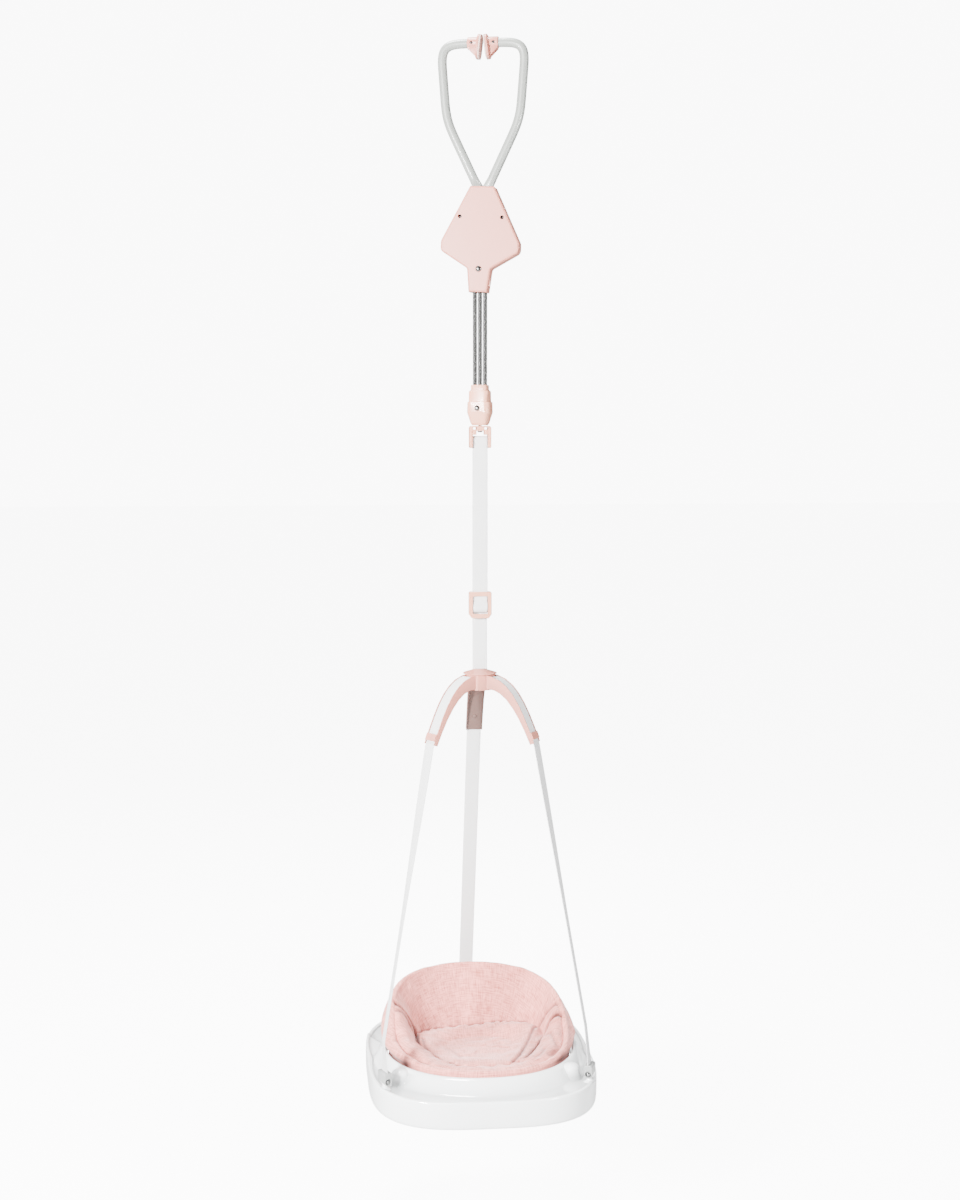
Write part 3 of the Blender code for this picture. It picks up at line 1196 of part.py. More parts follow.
def seat_cloth():
    """Sling as a closed solid: its outer face, and the same face again one thickness further in."""
    rows = []
    for i in range(CLOTH_STEPS):
        turn = 2 * math.pi * i / CLOTH_STEPS
        ray = egg(turn, HOLE_HALF, HOLE_FRONT, HOLE_REAR, 2.2) - np.array((0.0, TRAY_MIDDLE_Y))
        ray /= np.linalg.norm(ray)
        line = cloth_line(turn)
        back_line = [tuple(p) for p in offset_line(line, -CLOTH_THICK)]
        rows.append([(ray[0] * d, TRAY_MIDDLE_Y + ray[1] * d, z) for d, z in line[::-1] + back_line])
    rings = [[row[k] for row in rows] for k in range(len(rows[0]))]
    obj = add("seat_cloth", loft(rings), CLOTH, seat, swing_drop)
    for side in (-1, 1):
        rings = []
        for z in (PAN_Z - LEG_HALF_LONG, CLOTH_FRONT_Z + 2 * SIDE_SWELL):
            ring = []
            for t in np.linspace(0, 2 * np.pi, 16, endpoint=False):
                along = LEG_HALF_LONG * math.sin(t)
                across = LEG_HALF_WIDE * math.cos(t)
                ring.append((side * (LEG_X + across * math.cos(LEG_LEAN) + along * math.sin(LEG_LEAN)),
                             LEG_Y - across * math.sin(LEG_LEAN) + along * math.cos(LEG_LEAN), z))
            rings.append(ring if side > 0 else ring[::-1])
        boolean(obj, loft(rings), location=swing_drop)


seat_cloth()
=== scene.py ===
# Doorway baby jumper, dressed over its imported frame. The file follows the object from the clamp at the
# top down to the seat, one section for each piece or group of like pieces.
import functools
import math

import bmesh
import bpy
import numpy as np
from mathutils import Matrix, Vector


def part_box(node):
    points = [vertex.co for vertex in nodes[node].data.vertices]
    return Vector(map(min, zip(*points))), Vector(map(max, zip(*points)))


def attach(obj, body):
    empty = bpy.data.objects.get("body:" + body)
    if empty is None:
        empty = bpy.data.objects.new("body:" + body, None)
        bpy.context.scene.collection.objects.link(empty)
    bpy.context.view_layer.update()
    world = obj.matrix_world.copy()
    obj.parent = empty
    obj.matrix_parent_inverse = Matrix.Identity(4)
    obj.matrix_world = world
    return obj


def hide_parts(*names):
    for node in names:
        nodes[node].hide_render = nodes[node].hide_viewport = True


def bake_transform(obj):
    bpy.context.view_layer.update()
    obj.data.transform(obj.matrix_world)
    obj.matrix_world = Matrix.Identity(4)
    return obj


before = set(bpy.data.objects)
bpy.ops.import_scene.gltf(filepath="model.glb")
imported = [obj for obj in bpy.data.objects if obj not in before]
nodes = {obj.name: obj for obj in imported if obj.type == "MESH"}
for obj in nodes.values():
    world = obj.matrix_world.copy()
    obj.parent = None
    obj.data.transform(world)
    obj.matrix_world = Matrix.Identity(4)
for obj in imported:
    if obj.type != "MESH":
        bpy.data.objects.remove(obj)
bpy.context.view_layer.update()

# Viewpoint, floor and light
# The photograph looks down on the seat by a few degrees from its left front. The floor is one wide pale
# sheet, and soft light comes from large panels at the front, above, behind and at the left.
LINE = np.array((-0.0050844, 0.0014584, 0.0))  # the line that the springs and the seat hang on
CAMERA_TURN, CAMERA_TILT = math.radians(-6.0), math.radians(84.5)
CAMERA_FAR, CAMERA_HIGH = 3.06, -0.627
FLOOR_HIGH, FLOOR_HALF = -2.06, 30
SEEN_WHITE, LIT_WHITE, FLOOR_WHITE = 9.5, 0.34, 9.0  # the sky as seen and as a light, and the floor as seen
# Lamp panels: place, size, power and the point they face
LAMPS = (((-2.1, -2.5, -0.3), 0.7, 760, (0, 0, -0.9)), ((1.9, -2.1, -0.5), 0.6, 150, (0, 0, -1.1)),
         ((-0.5, 0.2, 1.6), 0.8, 230, (0, 0, -1.6)), ((-2.2, 0.9, -0.9), 0.8, 40, (0, 0, -1.4)),
         ((0.5, 2.9, 0.5), 1.3, 240, (0, 0, -0.9)))
BEHIND = 2.0  # lamps further back only fill the shadows


def put(name, data):
    """Object for some data, linked to the scene at the origin."""
    obj = bpy.data.objects.new(name, data)
    bpy.context.scene.collection.objects.link(obj)
    return obj


def adjust(thing, **settings):
    """Set a thing's own settings by their names."""
    for word, value in settings.items():
        setattr(thing, word, value)
    return thing


camera = put("photo_view", adjust(bpy.data.cameras.new("photo_view"), sensor_fit="VERTICAL",
                                  sensor_height=24.0, lens=36.0, clip_end=100.0))
aside, ahead = CAMERA_FAR * math.sin(CAMERA_TURN), CAMERA_FAR * math.cos(CAMERA_TURN)
adjust(camera, location=(LINE[0] + aside, LINE[1] - ahead, CAMERA_HIGH),
       rotation_euler=(CAMERA_TILT, 0, CAMERA_TURN))
bpy.context.scene.camera = camera

for place, size, power, aim in LAMPS:
    away = np.array(place) - np.array(aim)
    facing = (math.acos(away[2] / np.linalg.norm(away)), 0, math.atan2(away[1], away[0]) + math.pi / 2)
    lamp = put("panel", adjust(bpy.data.lights.new("panel", "AREA"), size=size, energy=power))
    adjust(lamp, location=place, rotation_euler=facing, visible_glossy=place[1] < BEHIND)


def wire(value, socket):
    """Link an output to a socket, or set the socket where value is a plain one."""
    if isinstance(value, bpy.types.NodeSocket):
        socket.id_data.links.new(value, socket)
    else:
        socket.default_value = value


def node(tree, kind, outlet=0, settings=(), **inputs):
    """Add a node, set its options and inputs, and return one of its outputs. Spaces in names are _."""
    made = adjust(tree.nodes.new("ShaderNode" + kind), **dict(settings))
    for word, value in inputs.items():
        wire(value, made.inputs[int(word[1:]) if word[1:].isdigit() else word.replace("_", " ")])
    return made.outputs[outlet]


def calculate(operation, a, b=0.0, clamp=False):
    """Math node on two values, in the tree of the one that is a socket."""
    tree = (a if isinstance(a, bpy.types.NodeSocket) else b).id_data
    return node(tree, "Math", 0, {"operation": operation, "use_clamp": clamp}, n0=a, n1=b)


plus, minus, times = (functools.partial(calculate, word) for word in ("ADD", "SUBTRACT", "MULTIPLY"))


def preset(made, values):
    """Set or link a node's inputs by their names."""
    for word, value in values.items():
        wire(value, made.inputs[word])


def new_finish(name):
    """New material, with its tree and its shader."""
    mat = bpy.data.materials.new(name)
    mat.use_nodes = True
    return mat, mat.node_tree, mat.node_tree.nodes["Principled BSDF"]


world = bpy.data.worlds.new("studio")
bpy.context.scene.world = world
world.use_nodes = True
seen = node(world.node_tree, "LightPath", "Is Camera Ray")
preset(world.node_tree.nodes["Background"],
       {"Color": (1.0, 1.0, 1.0, 1.0), "Strength": plus(times(seen, SEEN_WHITE), LIT_WHITE)})

floor_data = bpy.data.meshes.new("floor")
corners = ((-1, -1), (1, -1), (1, 1), (-1, 1))
floor_data.from_pydata([(x * FLOOR_HALF, y * FLOOR_HALF, FLOOR_HIGH) for x, y in corners], [], [(0, 1, 2, 3)])
floor = put("floor", floor_data)
pale, tree, shader = new_finish("pale_floor")
preset(shader, {"Base Color": (0.5, 0.5, 0.5, 1.0), "Roughness": 0.9, "Specular IOR Level": 0.1,
                "Emission Color": (1.0, 1.0, 1.0, 1.0),
                "Emission Strength": times(node(tree, "LightPath", "Is Camera Ray"), FLOOR_WHITE)})
floor_data.materials.append(pale)

# Clamp levers
# Two bent steel tubes, powder coated light grey, bowed outwards above the pin and pressed flat where
# they cross inside the housing. Their upper ends are pushed into the pads.


def settle(name, mesh, finish, body):
    """Object for a finished mesh, with its material and its body, which is None for a blended piece."""
    mesh.materials.append(finish)
    obj = put(name, mesh)
    if body:
        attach(obj, body)
    return obj


def stand_in(obj, node_name):
    """Hide the CAD node that a piece is shown in place of."""
    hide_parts(node_name)
    return obj


def quads_of(index):
    """Four corners of each face of a grid of point numbers."""
    return np.stack((index[:-1, :-1], index[:-1, 1:], index[1:, 1:], index[1:, :-1]), axis=-1).reshape(-1, 4)


def skin(name, grid, finish, body, around=True, loop=False, uv=None, sharp=35.0):
    """One surface through a grid of points, row by row.

    around joins the last column to the first, and flat ends then close the first and last rows.
    loop joins the last row to the first instead. uv holds (u, v) in metres for the rows and columns,
    with one more column or row where the grid is joined. Faces turn outwards by the sign of the volume.
    """
    grid = np.asarray(grid, float)
    index = np.arange(grid.shape[0] * grid.shape[1]).reshape(grid.shape[:2])
    wide = np.vstack((index, index[:1])) if loop else index
    wide = np.hstack((wide, wide[:, :1])) if around else wide
    quads = quads_of(wide)
    points = grid.reshape(-1, 3)
    corners = (points - points.mean(axis=0))[quads]
    halves = [np.cross(corners[:, k], corners[:, k + 1]) for k in (1, 2)]
    volume = sum(np.einsum("ij,ij->", corners[:, 0], half) for half in halves)
    turned = slice(None, None, -1 if volume < 0 else 1)
    faces = quads[:, turned].tolist()
    if around and not loop:
        faces += [index[0, ::-1][turned].tolist(), index[-1][turned].tolist()]
    mesh = bpy.data.meshes.new(name)
    mesh.from_pydata(points, [], faces)
    if uv is not None:
        corner = quads_of(np.arange(wide.size).reshape(wide.shape))[:, turned]
        flat = np.asarray(uv, float).reshape(-1, 2)[corner.reshape(-1)]
        values = np.zeros((len(mesh.loops), 2), np.float32)
        values[:len(flat)] = flat
        mesh.uv_layers.new(name="cloth").uv.foreach_set("vector", values.reshape(-1))
    mesh.shade_smooth()
    mesh.set_sharp_from_angle(angle=math.radians(sharp))
    return settle(name, mesh, finish, body)


def unit(vectors):
    """Vectors of length one."""
    return vectors / np.linalg.norm(vectors, axis=-1, keepdims=True)


def eased(x):
    """Smooth rise from 0 to 1: three times the square less twice the cube."""
    x = np.clip(x, 0, 1)
    return x * x * (3 - 2 * x)


def full_turn(count):
    """Angles spread evenly round a circle."""
    return np.linspace(0, 2 * np.pi, count, endpoint=False)


def turn_z(points, angle):
    """Points turned about the vertical through the origin."""
    c, s = math.cos(angle), math.sin(angle)
    x, y = points[..., 0], points[..., 1]
    return np.stack((x * c - y * s, x * s + y * c, points[..., 2]), axis=-1)


def run_of(points):
    """Length along a line at each of its points, or along every column of a grid."""
    steps = np.linalg.norm(np.diff(points, axis=0), axis=-1)
    return np.concatenate((np.zeros_like(steps[:1]), np.cumsum(steps, axis=0)))


def even_line(points, step):
    """Line through corner points with a point about every step."""
    points = np.asarray(points, float)
    run = run_of(points)
    places = np.linspace(0, run[-1], max(2, int(round(run[-1] / step)) + 1))
    return np.stack([np.interp(places, run, points[:, k]) for k in range(points.shape[1])], axis=1)


def softened(points, reach):
    """Line with rounded corners: each point becomes the mean of its neighbours within reach steps."""
    before = 2 * points[0] - points[1:reach + 1][::-1]
    after = 2 * points[-1] - points[-reach - 1:-1][::-1]
    longer = np.concatenate((before, points, after))
    weights = np.hanning(2 * reach + 3)[1:-1]
    weights /= weights.sum()
    return np.stack([np.convolve(longer[:, k], weights, "valid") for k in range(points.shape[1])], axis=1)


def group(name, wanted, given):
    """Shader node group with its inputs, as (name, kind, value), and its outputs, as (name, kind)."""
    tree = bpy.data.node_groups.new(name, "ShaderNodeTree")
    for word, kind, value in wanted:
        socket = tree.interface.new_socket(word, in_out="INPUT", socket_type="NodeSocket" + kind)
        if value is not None:
            socket.default_value = value
    for word, kind in given:
        tree.interface.new_socket(word, in_out="OUTPUT", socket_type="NodeSocket" + kind)
    return tree, tree.nodes.new("NodeGroupInput").outputs, tree.nodes.new("NodeGroupOutput")


def blend_colours(tree, share, a, b, how="MIX"):
    """Mix node on two colours."""
    return node(tree, "Mix", 2, {"data_type": "RGBA", "blend_type": how}, n0=share, n6=a, n7=b)


def with_painted_shade(tree, colour, dark):
    """Colour darkened by painted shade: it turns to dark, where there is one, as far as the mesh's own shade
    values say.
    """
    if not dark:
        return colour
    share = node(tree, "Attribute", 2, {"attribute_name": "painted_shade_amount"})
    return blend_colours(tree, share, colour, (*dark, 1.0))


def placed(tree, shared, values):
    """Outputs of a shared node group, put into a material's tree with this finish's own values."""
    made = tree.nodes.new("ShaderNodeGroup")
    made.node_tree = shared
    preset(made, values)
    return made.outputs


# Surface of a moulded or coated piece: faint clouding of the colour, fine grain and a little rubbing
moulded, have, give = group(
    "moulded_surface",
    (("Colour", "Color", (0.8, 0.8, 0.8, 1.0)), ("Clouding", "Float", 0.04), ("Roughness", "Float", 0.4),
     ("Unevenness", "Float", 0.06), ("Grain Size", "Float", 0.0006), ("Grain Height", "Float", 0.3)),
    (("Colour", "Color"), ("Roughness", "Float"), ("Height", "Float")))
place = node(moulded, "TexCoord", "Object")
clouds = node(moulded, "TexNoise", Vector=place, Scale=18.0, Detail=3.0, Roughness=0.6)
scuffs = node(moulded, "TexNoise", Vector=place, Scale=160.0, Detail=4.0, Roughness=0.7, Distortion=0.6)
size = calculate("DIVIDE", 1.0, have["Grain Size"])
grain = node(moulded, "TexNoise", Vector=place, Scale=size, Detail=1.0, Roughness=0.5)
bright = plus(plus(times(minus(clouds, 0.5), have["Clouding"]),
                   times(minus(grain, 0.5), times(have["Clouding"], 0.35))), 1.0)
brightness = node(moulded, "CombineColor", Red=bright, Green=bright, Blue=bright)
rub = times(minus(plus(scuffs, clouds), 1.0), have["Unevenness"])
preset(give, {"Colour": blend_colours(moulded, 1.0, have["Colour"], brightness, "MULTIPLY"),
              "Roughness": plus(have["Roughness"], times(rub, 2.0), True),
              "Height": times(grain, have["Grain Height"])})


def coated(name, colour, roughness, clouding=0.05, unevenness=0.05, grain=0.0006, grain_height=0.3, metal=0.0,
           depth=0.00004, coat=0.0, specular=0.5, soft_edge=0.0, painted_shade_colour=None):
    """Material of a moulded, painted or plated piece. Where a shade colour is given, the mesh's own shade
    values darken it towards that colour as painted shade.
    """
    mat, tree, shader = new_finish(name)
    made = placed(tree, moulded, {
        "Colour": (*colour, 1.0), "Clouding": clouding, "Roughness": roughness, "Unevenness": unevenness,
        "Grain Size": grain, "Grain Height": grain_height})
    preset(shader, {
        "Base Color": with_painted_shade(tree, made["Colour"], painted_shade_colour), "Roughness": made["Roughness"],
        "Metallic": metal, "Specular IOR Level": specular, "Coat Weight": coat, "Coat Roughness": 0.07,
        "Normal": node(tree, "Bump", Height=made["Height"], Distance=depth, Strength=0.6)})
    if soft_edge:
        preset(shader, {"Subsurface Weight": soft_edge, "Subsurface Radius": (1.0, 0.5, 0.4),
                        "Subsurface Scale": 0.004})
    return mat


CLAMP_TURN = math.radians(-16.0)
PIN_Z = -0.248
TUBE_R = 0.0076
FLAT_WIDE, FLAT_DEEP = 0.009, 0.003  # half sizes of a tube where it is pressed flat
TAIL = 0.038  # a tube's length below the pin
grey_coat = coated("grey_powder_coat", (0.205, 0.214, 0.198), 0.4, 0.05, 0.07, 0.0007, 0.5, coat=0.12)


def lever_tube(name, side, node_name, body):
    """Oval ring swept along the bent line; the ring turns from round to flat as it nears the pin."""
    knee_x, knee_z = 0.0621, -0.1179
    lean = math.atan2(knee_x, knee_z - PIN_Z)
    line = even_line(((0.014, 0.006), (0.0717, 0.006), (knee_x, knee_z), (0.0, PIN_Z),
                      (-TAIL * math.sin(lean), PIN_Z - TAIL * math.cos(lean))), 0.0015)
    lower = np.clip((-0.03 - line[:, 1]) / 0.05, 0, 1)[:, None]
    line = softened(line, 34) * (1 - lower) + softened(line, 28) * lower
    above = np.where(line[:, 1] > PIN_Z, np.hypot(line[:, 0], line[:, 1] - PIN_Z), 0.0)
    flat = eased((0.038 - above) / 0.023)
    along = unit(np.gradient(line, axis=0))
    across = np.stack((along[:, 1] * side, np.zeros(len(line)), -along[:, 0]), axis=1)
    half_wide = TUBE_R + (FLAT_WIDE - TUBE_R) * flat
    half_deep = TUBE_R + (FLAT_DEEP - TUBE_R) * flat
    centre = np.stack((side * line[:, 0], -side * 0.0035 * flat, line[:, 1]), axis=1)
    t = full_turn(28)
    grid = (centre[:, None] + across[:, None] * (half_wide[:, None] * np.cos(t))[..., None]
            + np.array((0, 1, 0)) * (half_deep[:, None] * np.sin(t))[..., None])
    stand_in(skin(name, turn_z(grid, CLAMP_TURN), grey_coat, body), node_name)


lever_tube("lever_tube_left", -1, "left_lever", "left_lever_set")
lever_tube("lever_tube_right", 1, "right_lever", "right_lever_set")

# Grip pads
# Two pink mouldings with a socket for the tube, a gusset below it and a round-cornered gripping plate,
# each with a rubber facing and one small screw. They are pressed together by the closing spring.
SIDES = ((-1, "left"), (1, "right"))
# The second pink is a darker colour painted as shade where the mesh's shade values ask for it.
PINK, PINK_PAINTED_SHADE = (0.46, 0.175, 0.13), (0.105, 0.061, 0.05)
pink_plastic = coated("pink_satin_plastic", PINK, 0.38, 0.035, 0.05, 0.0005, 0.35, coat=0.03, specular=0.35,
                      soft_edge=0.04, painted_shade_colour=PINK_PAINTED_SHADE)
grip_rubber = coated("grip_rubber", (0.5, 0.34, 0.3), 0.78, 0.06, 0.06, 0.0004, 0.8, depth=0.00008,
                     specular=0.3)
plated_steel = coated("zinc_plated_steel", (0.11, 0.105, 0.1), 0.28, 0.16, 0.1, 0.0009, 0.5, metal=1.0)
# The screw heads' steel is painted nearly black, as the shade in the deep holes they sit in.
screw_steel_dark_as_hole_shade = coated("screw_steel_painted_with_hole_shade", (0.03, 0.022, 0.02), 0.45, 0.16, 0.1, 0.0009, 0.5, metal=0.3)


def smoothed(name, node_name, finish, body, edge=0.0, sharp=30.0):
    """Copy of a CAD node with its points merged, flat faces kept flat and an optional soft edge."""
    mesh = nodes[node_name].data.copy()
    mesh.name = name
    bm = bmesh.new()
    bm.from_mesh(mesh)
    bmesh.ops.remove_doubles(bm, verts=bm.verts, dist=0.00002)
    bmesh.ops.dissolve_limit(bm, angle_limit=math.radians(0.6), verts=bm.verts, edges=bm.edges)
    bm.to_mesh(mesh)
    bm.free()
    mesh.materials.clear()
    mesh.shade_smooth()
    mesh.set_sharp_from_angle(angle=math.radians(sharp))
    obj = settle(name, mesh, finish, body)
    if edge:
        adjust(obj.modifiers.new("soft_edge", "BEVEL"), width=edge, segments=2, limit_method="ANGLE",
               angle_limit=math.radians(40), use_clamp_overlap=True, harden_normals=True)
    return stand_in(obj, node_name)


for side, word in SIDES:
    levers = word + "_lever_set"
    smoothed("pad_" + word, word + "_pad", pink_plastic, levers, 0.0003)
    smoothed("pad_facing_" + word, word + "_pad_rubber", grip_rubber, levers, 0.0003)


def screw_head(name, centre, radius, rise, body, node_name, shank, thick):
    """Domed screw: height falls with the square of the radius, with a cross driven into the dome.

    The cross is where either of two directions on the head is within an eighth of its radius of the
    middle, out to 0.55 of the radius.
    """
    axis = clamp_front
    side = unit(np.cross(axis, (0.31, 0.24, 0.92)))
    other = np.cross(axis, side)
    t = full_turn(48)
    dome = np.linspace(0.02, 1.0, 22)
    r = np.concatenate((dome, (1.0, 0.92, 0.4, 0.4)))
    height = np.concatenate((rise * (1 - dome ** 2), (-thick, -thick, -thick, -shank)))
    x, y = np.outer(r, np.cos(t)), np.outer(r, np.sin(t))
    arm = np.minimum(np.abs(x), np.abs(y))
    cross = np.clip((0.13 - arm) / 0.06, 0, 1) * np.clip((0.55 - np.hypot(x, y)) / 0.08, 0, 1)
    cross[len(dome):] = 0
    z = height[:, None] - cross * 0.32 * radius
    grid = centre + radius * (x[..., None] * side + y[..., None] * other) + z[..., None] * axis
    stand_in(skin(name, grid, screw_steel_dark_as_hole_shade, body, sharp=28), node_name)


def clamp_point(x, y, z):
    """Point of the clamp in its own upright frame, put where the clamp is turned to."""
    return turn_z(np.array((x, y, z), float), CLAMP_TURN)


clamp_front = clamp_point(0.0, -1.0, 0.0)
for side, word in SIDES:
    screw_head("pad_screw_head_" + word, clamp_point(side * 0.0185, -0.009, 0.006), 0.0024, 0.0006,
               word + "_lever_set", word + "_pad_screw", 0.0052, 0.0002)

# Clamp housing
# Two moulded shells shaped like a kite, screwed together round the crossing of the levers. The hanger
# bolt crosses their neck, and two screws sit deep in round holes in the front shell.
HOUSING_LEAN = math.radians(2.6)  # about the pin


def refinish(finish, *node_names):
    """Give CAD nodes that keep their shapes their finished material."""
    for node_name in node_names:
        materials = nodes[node_name].data.materials
        materials.clear()
        materials.append(finish)


for word in ("front", "rear"):
    smoothed("case_" + word, "housing_" + word, pink_plastic, "clamp_housing", 0.0002, 24.0)
c, s = math.cos(HOUSING_LEAN), math.sin(HOUSING_LEAN)
for side, word in SIDES:
    x, down = side * 0.0357, -0.279 - PIN_Z
    place = clamp_point(x * c + down * s, -0.0092, PIN_Z - x * s + down * c)
    screw_head("case_screw_head_" + word, place, 0.0029, 0.0007, "clamp_housing", "case_screw_" + word,
               0.015, 0.0006)
smoothed("hanger_bolt_shown", "hanger_bolt", plated_steel, "clamp_housing")
refinish(plated_steel, "hanger_nut", "pivot_pin", "clamp_spring", "spring_anchor_upper")

# Suspension springs
# Three extension springs of steel wire side by side, each wound close and drawn open by the seat's
# weight, with their ends hooked through the anchors above and below.
BARREL_TURN = math.radians(-23.0)
SPRING_TOP, SPRING_END = -0.37078, -0.5897
SPRING_TURNS, TURN_STEPS = 74, 18
COIL_R, WIRE_R = 0.003, 0.00105
LEG = 0.0265  # straight wire above and below the coil
SPRING_GAP = 0.0088
spring_wire = coated("spring_wire", (0.06, 0.06, 0.058), 0.34, 0.22, 0.12, 0.0012, 0.4, metal=0.5)


def along_path(path, radius, sides, first_side):
    """Round tube along a path. Its ring keeps one side near first_side, made square to the path."""
    along = unit(np.gradient(path, axis=0))
    side = unit(np.cross(along, np.array(first_side)))
    other = np.cross(side, along)
    t = full_turn(sides)[None, :, None]
    return path[:, None] + radius * (side[:, None] * np.cos(t) + other[:, None] * np.sin(t))


def coil_path(place):
    """Helix whose radius grows from nothing over its first turn and shrinks to nothing over its last."""
    top, bottom = (LINE + turn_z(np.array((place, 0, 0)), turn) + (0, 0, z)
                   for turn, z in ((CLAMP_TURN, SPRING_TOP), (BARREL_TURN, SPRING_END)))
    last = SPRING_TURNS * TURN_STEPS
    i = np.arange(last + 1)
    grow = COIL_R * eased(np.minimum(i, last - i) / TURN_STEPS)
    tall = SPRING_TOP - SPRING_END
    z = SPRING_TOP - LEG - (tall - 2 * LEG) * i / last
    middle = top + (bottom - top) * ((SPRING_TOP - z) / tall)[:, None]
    a = 2 * np.pi * i / TURN_STEPS
    coil = middle + np.stack((np.cos(a) * grow, np.sin(a) * grow, np.zeros(len(a))), axis=1)
    leg_top = top + (middle[0] - top) * np.linspace(0, 0.97, 6)[:, None]
    leg_bottom = middle[-1] + (bottom - middle[-1]) * np.linspace(0.03, 1, 6)[:, None]
    return np.concatenate((leg_top, coil, leg_bottom))


def blended(obj, node_name):
    """Piece between two heights on the hanging line, with its placing baked into its points, shown in place
    of a CAD node.
    """
    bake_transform(obj)
    stand_in(obj, node_name)


for place, word in ((-SPRING_GAP, "left"), (0.0, "middle"), (SPRING_GAP, "right")):
    coil = along_path(coil_path(place), WIRE_R, 8, (0.05, 0.03, 1.0))
    coil = skin("suspension_spring_" + word, coil, spring_wire, None, sharp=60)
    blended(coil, "spring_" + word)

# Spring holder
# Two cream shells shaped like a small barrel, bolted together round the lower anchor. They have a collar
# at the top, a belt at half height and a floor below, which the swivel's stud turns in.
cream_plastic = coated("cream_satin_plastic", (0.57, 0.26, 0.172), 0.38, 0.03, 0.05, 0.0005, 0.35, coat=0.08,
                       soft_edge=0.12)
for word in ("front", "rear"):
    smoothed("holder_" + word, "barrel_" + word, cream_plastic, "spring_holder", 0.0004,
             26.0)
smoothed("barrel_bolt_shown", "barrel_bolt", plated_steel, "spring_holder")
refinish(plated_steel, "barrel_nut", "spring_anchor_lower", "swivel_washer")

# Swivel fork
# A moulded fork on a steel stud, with a web inside each of its upper corners. A pin across its cheeks
# carries the hanging strap's loop.
smoothed("fork", "swivel_fork", cream_plastic, "swivel", 0.0003, 26.0)
low, high = (np.array(corner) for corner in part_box("swivel_fork"))
t = full_turn(40)
squared = np.stack([np.sign(c) * np.abs(c) ** 0.3 for c in (np.cos(t), np.sin(t))], axis=1)
for side, word in SIDES:
    rows = []  # squared ovals |x/a|^6.7 + |y/b|^6.7 = 1, from the loop to the bar
    for rise, drawn in ((0.0223, 0.001), (0.0226, 0.0003), (0.0233, 0.0), (0.03, 0.0)):
        flat = squared * (0.0036 - drawn, 0.01 - drawn) + (low[:2] + high[:2]) / 2 + (side * 0.0102, 0.0)
        rows.append(np.column_stack((flat, np.full(len(flat), low[2] + rise))))
    skin("fork_web_" + word, rows, cream_plastic, "swivel", sharp=50)
smoothed("stud", "swivel_stud", plated_steel, "swivel")
smoothed("fork_pin", "strap_pin", plated_steel, "swivel")

# Hanging strap
# Light grey webbing, 25 mm wide and 1.4 mm thick, woven in a fine herringbone with bound edges. It hangs
# doubled from the fork's pin to the buckle's bar, and its lower part is looped round the spreader's pin.
WEB_WIDE, WEB_THICK = 0.025, 0.0014
woven, have, give = group(
    "woven_threads",
    (("Across", "Float", None), ("Along", "Float", None), ("Thread", "Float", 0.0005), ("Rib", "Float", 0.5),
     ("Slub", "Float", 0.3)),
    (("Height", "Float"), ("Shade", "Float")))
warp = calculate("DIVIDE", have["Across"], have["Thread"])
weft = calculate("DIVIDE", have["Along"], have["Thread"])
over_under = times(calculate("SINE", times(warp, math.pi)), calculate("SINE", times(weft, math.pi)))
rib = calculate("ABSOLUTE", calculate("SINE", times(plus(warp, weft), math.pi / 2)))
cross = node(woven, "CombineXYZ", X=times(warp, 0.9), Y=times(weft, 0.045), Z=0.0)
down = node(woven, "CombineXYZ", X=times(warp, 0.045), Y=times(weft, 0.9), Z=7.0)
slub_a = node(woven, "TexNoise", Vector=cross, Scale=1.0, Detail=2.0, Roughness=0.55)
slub_b = node(woven, "TexNoise", Vector=down, Scale=1.0, Detail=2.0, Roughness=0.55)
slubs = times(minus(plus(slub_a, slub_b), 1.0), have["Slub"])
high = plus(times(calculate("ABSOLUTE", over_under), minus(1.0, have["Rib"])), times(rib, have["Rib"]))
# Shade mixes the yarn's uneven tone with painted shade: low threads are darker and raised ones lighter.
preset(give, {"Height": plus(high, slubs), "Shade": plus(slubs, times(minus(high, 0.5), 0.22))})


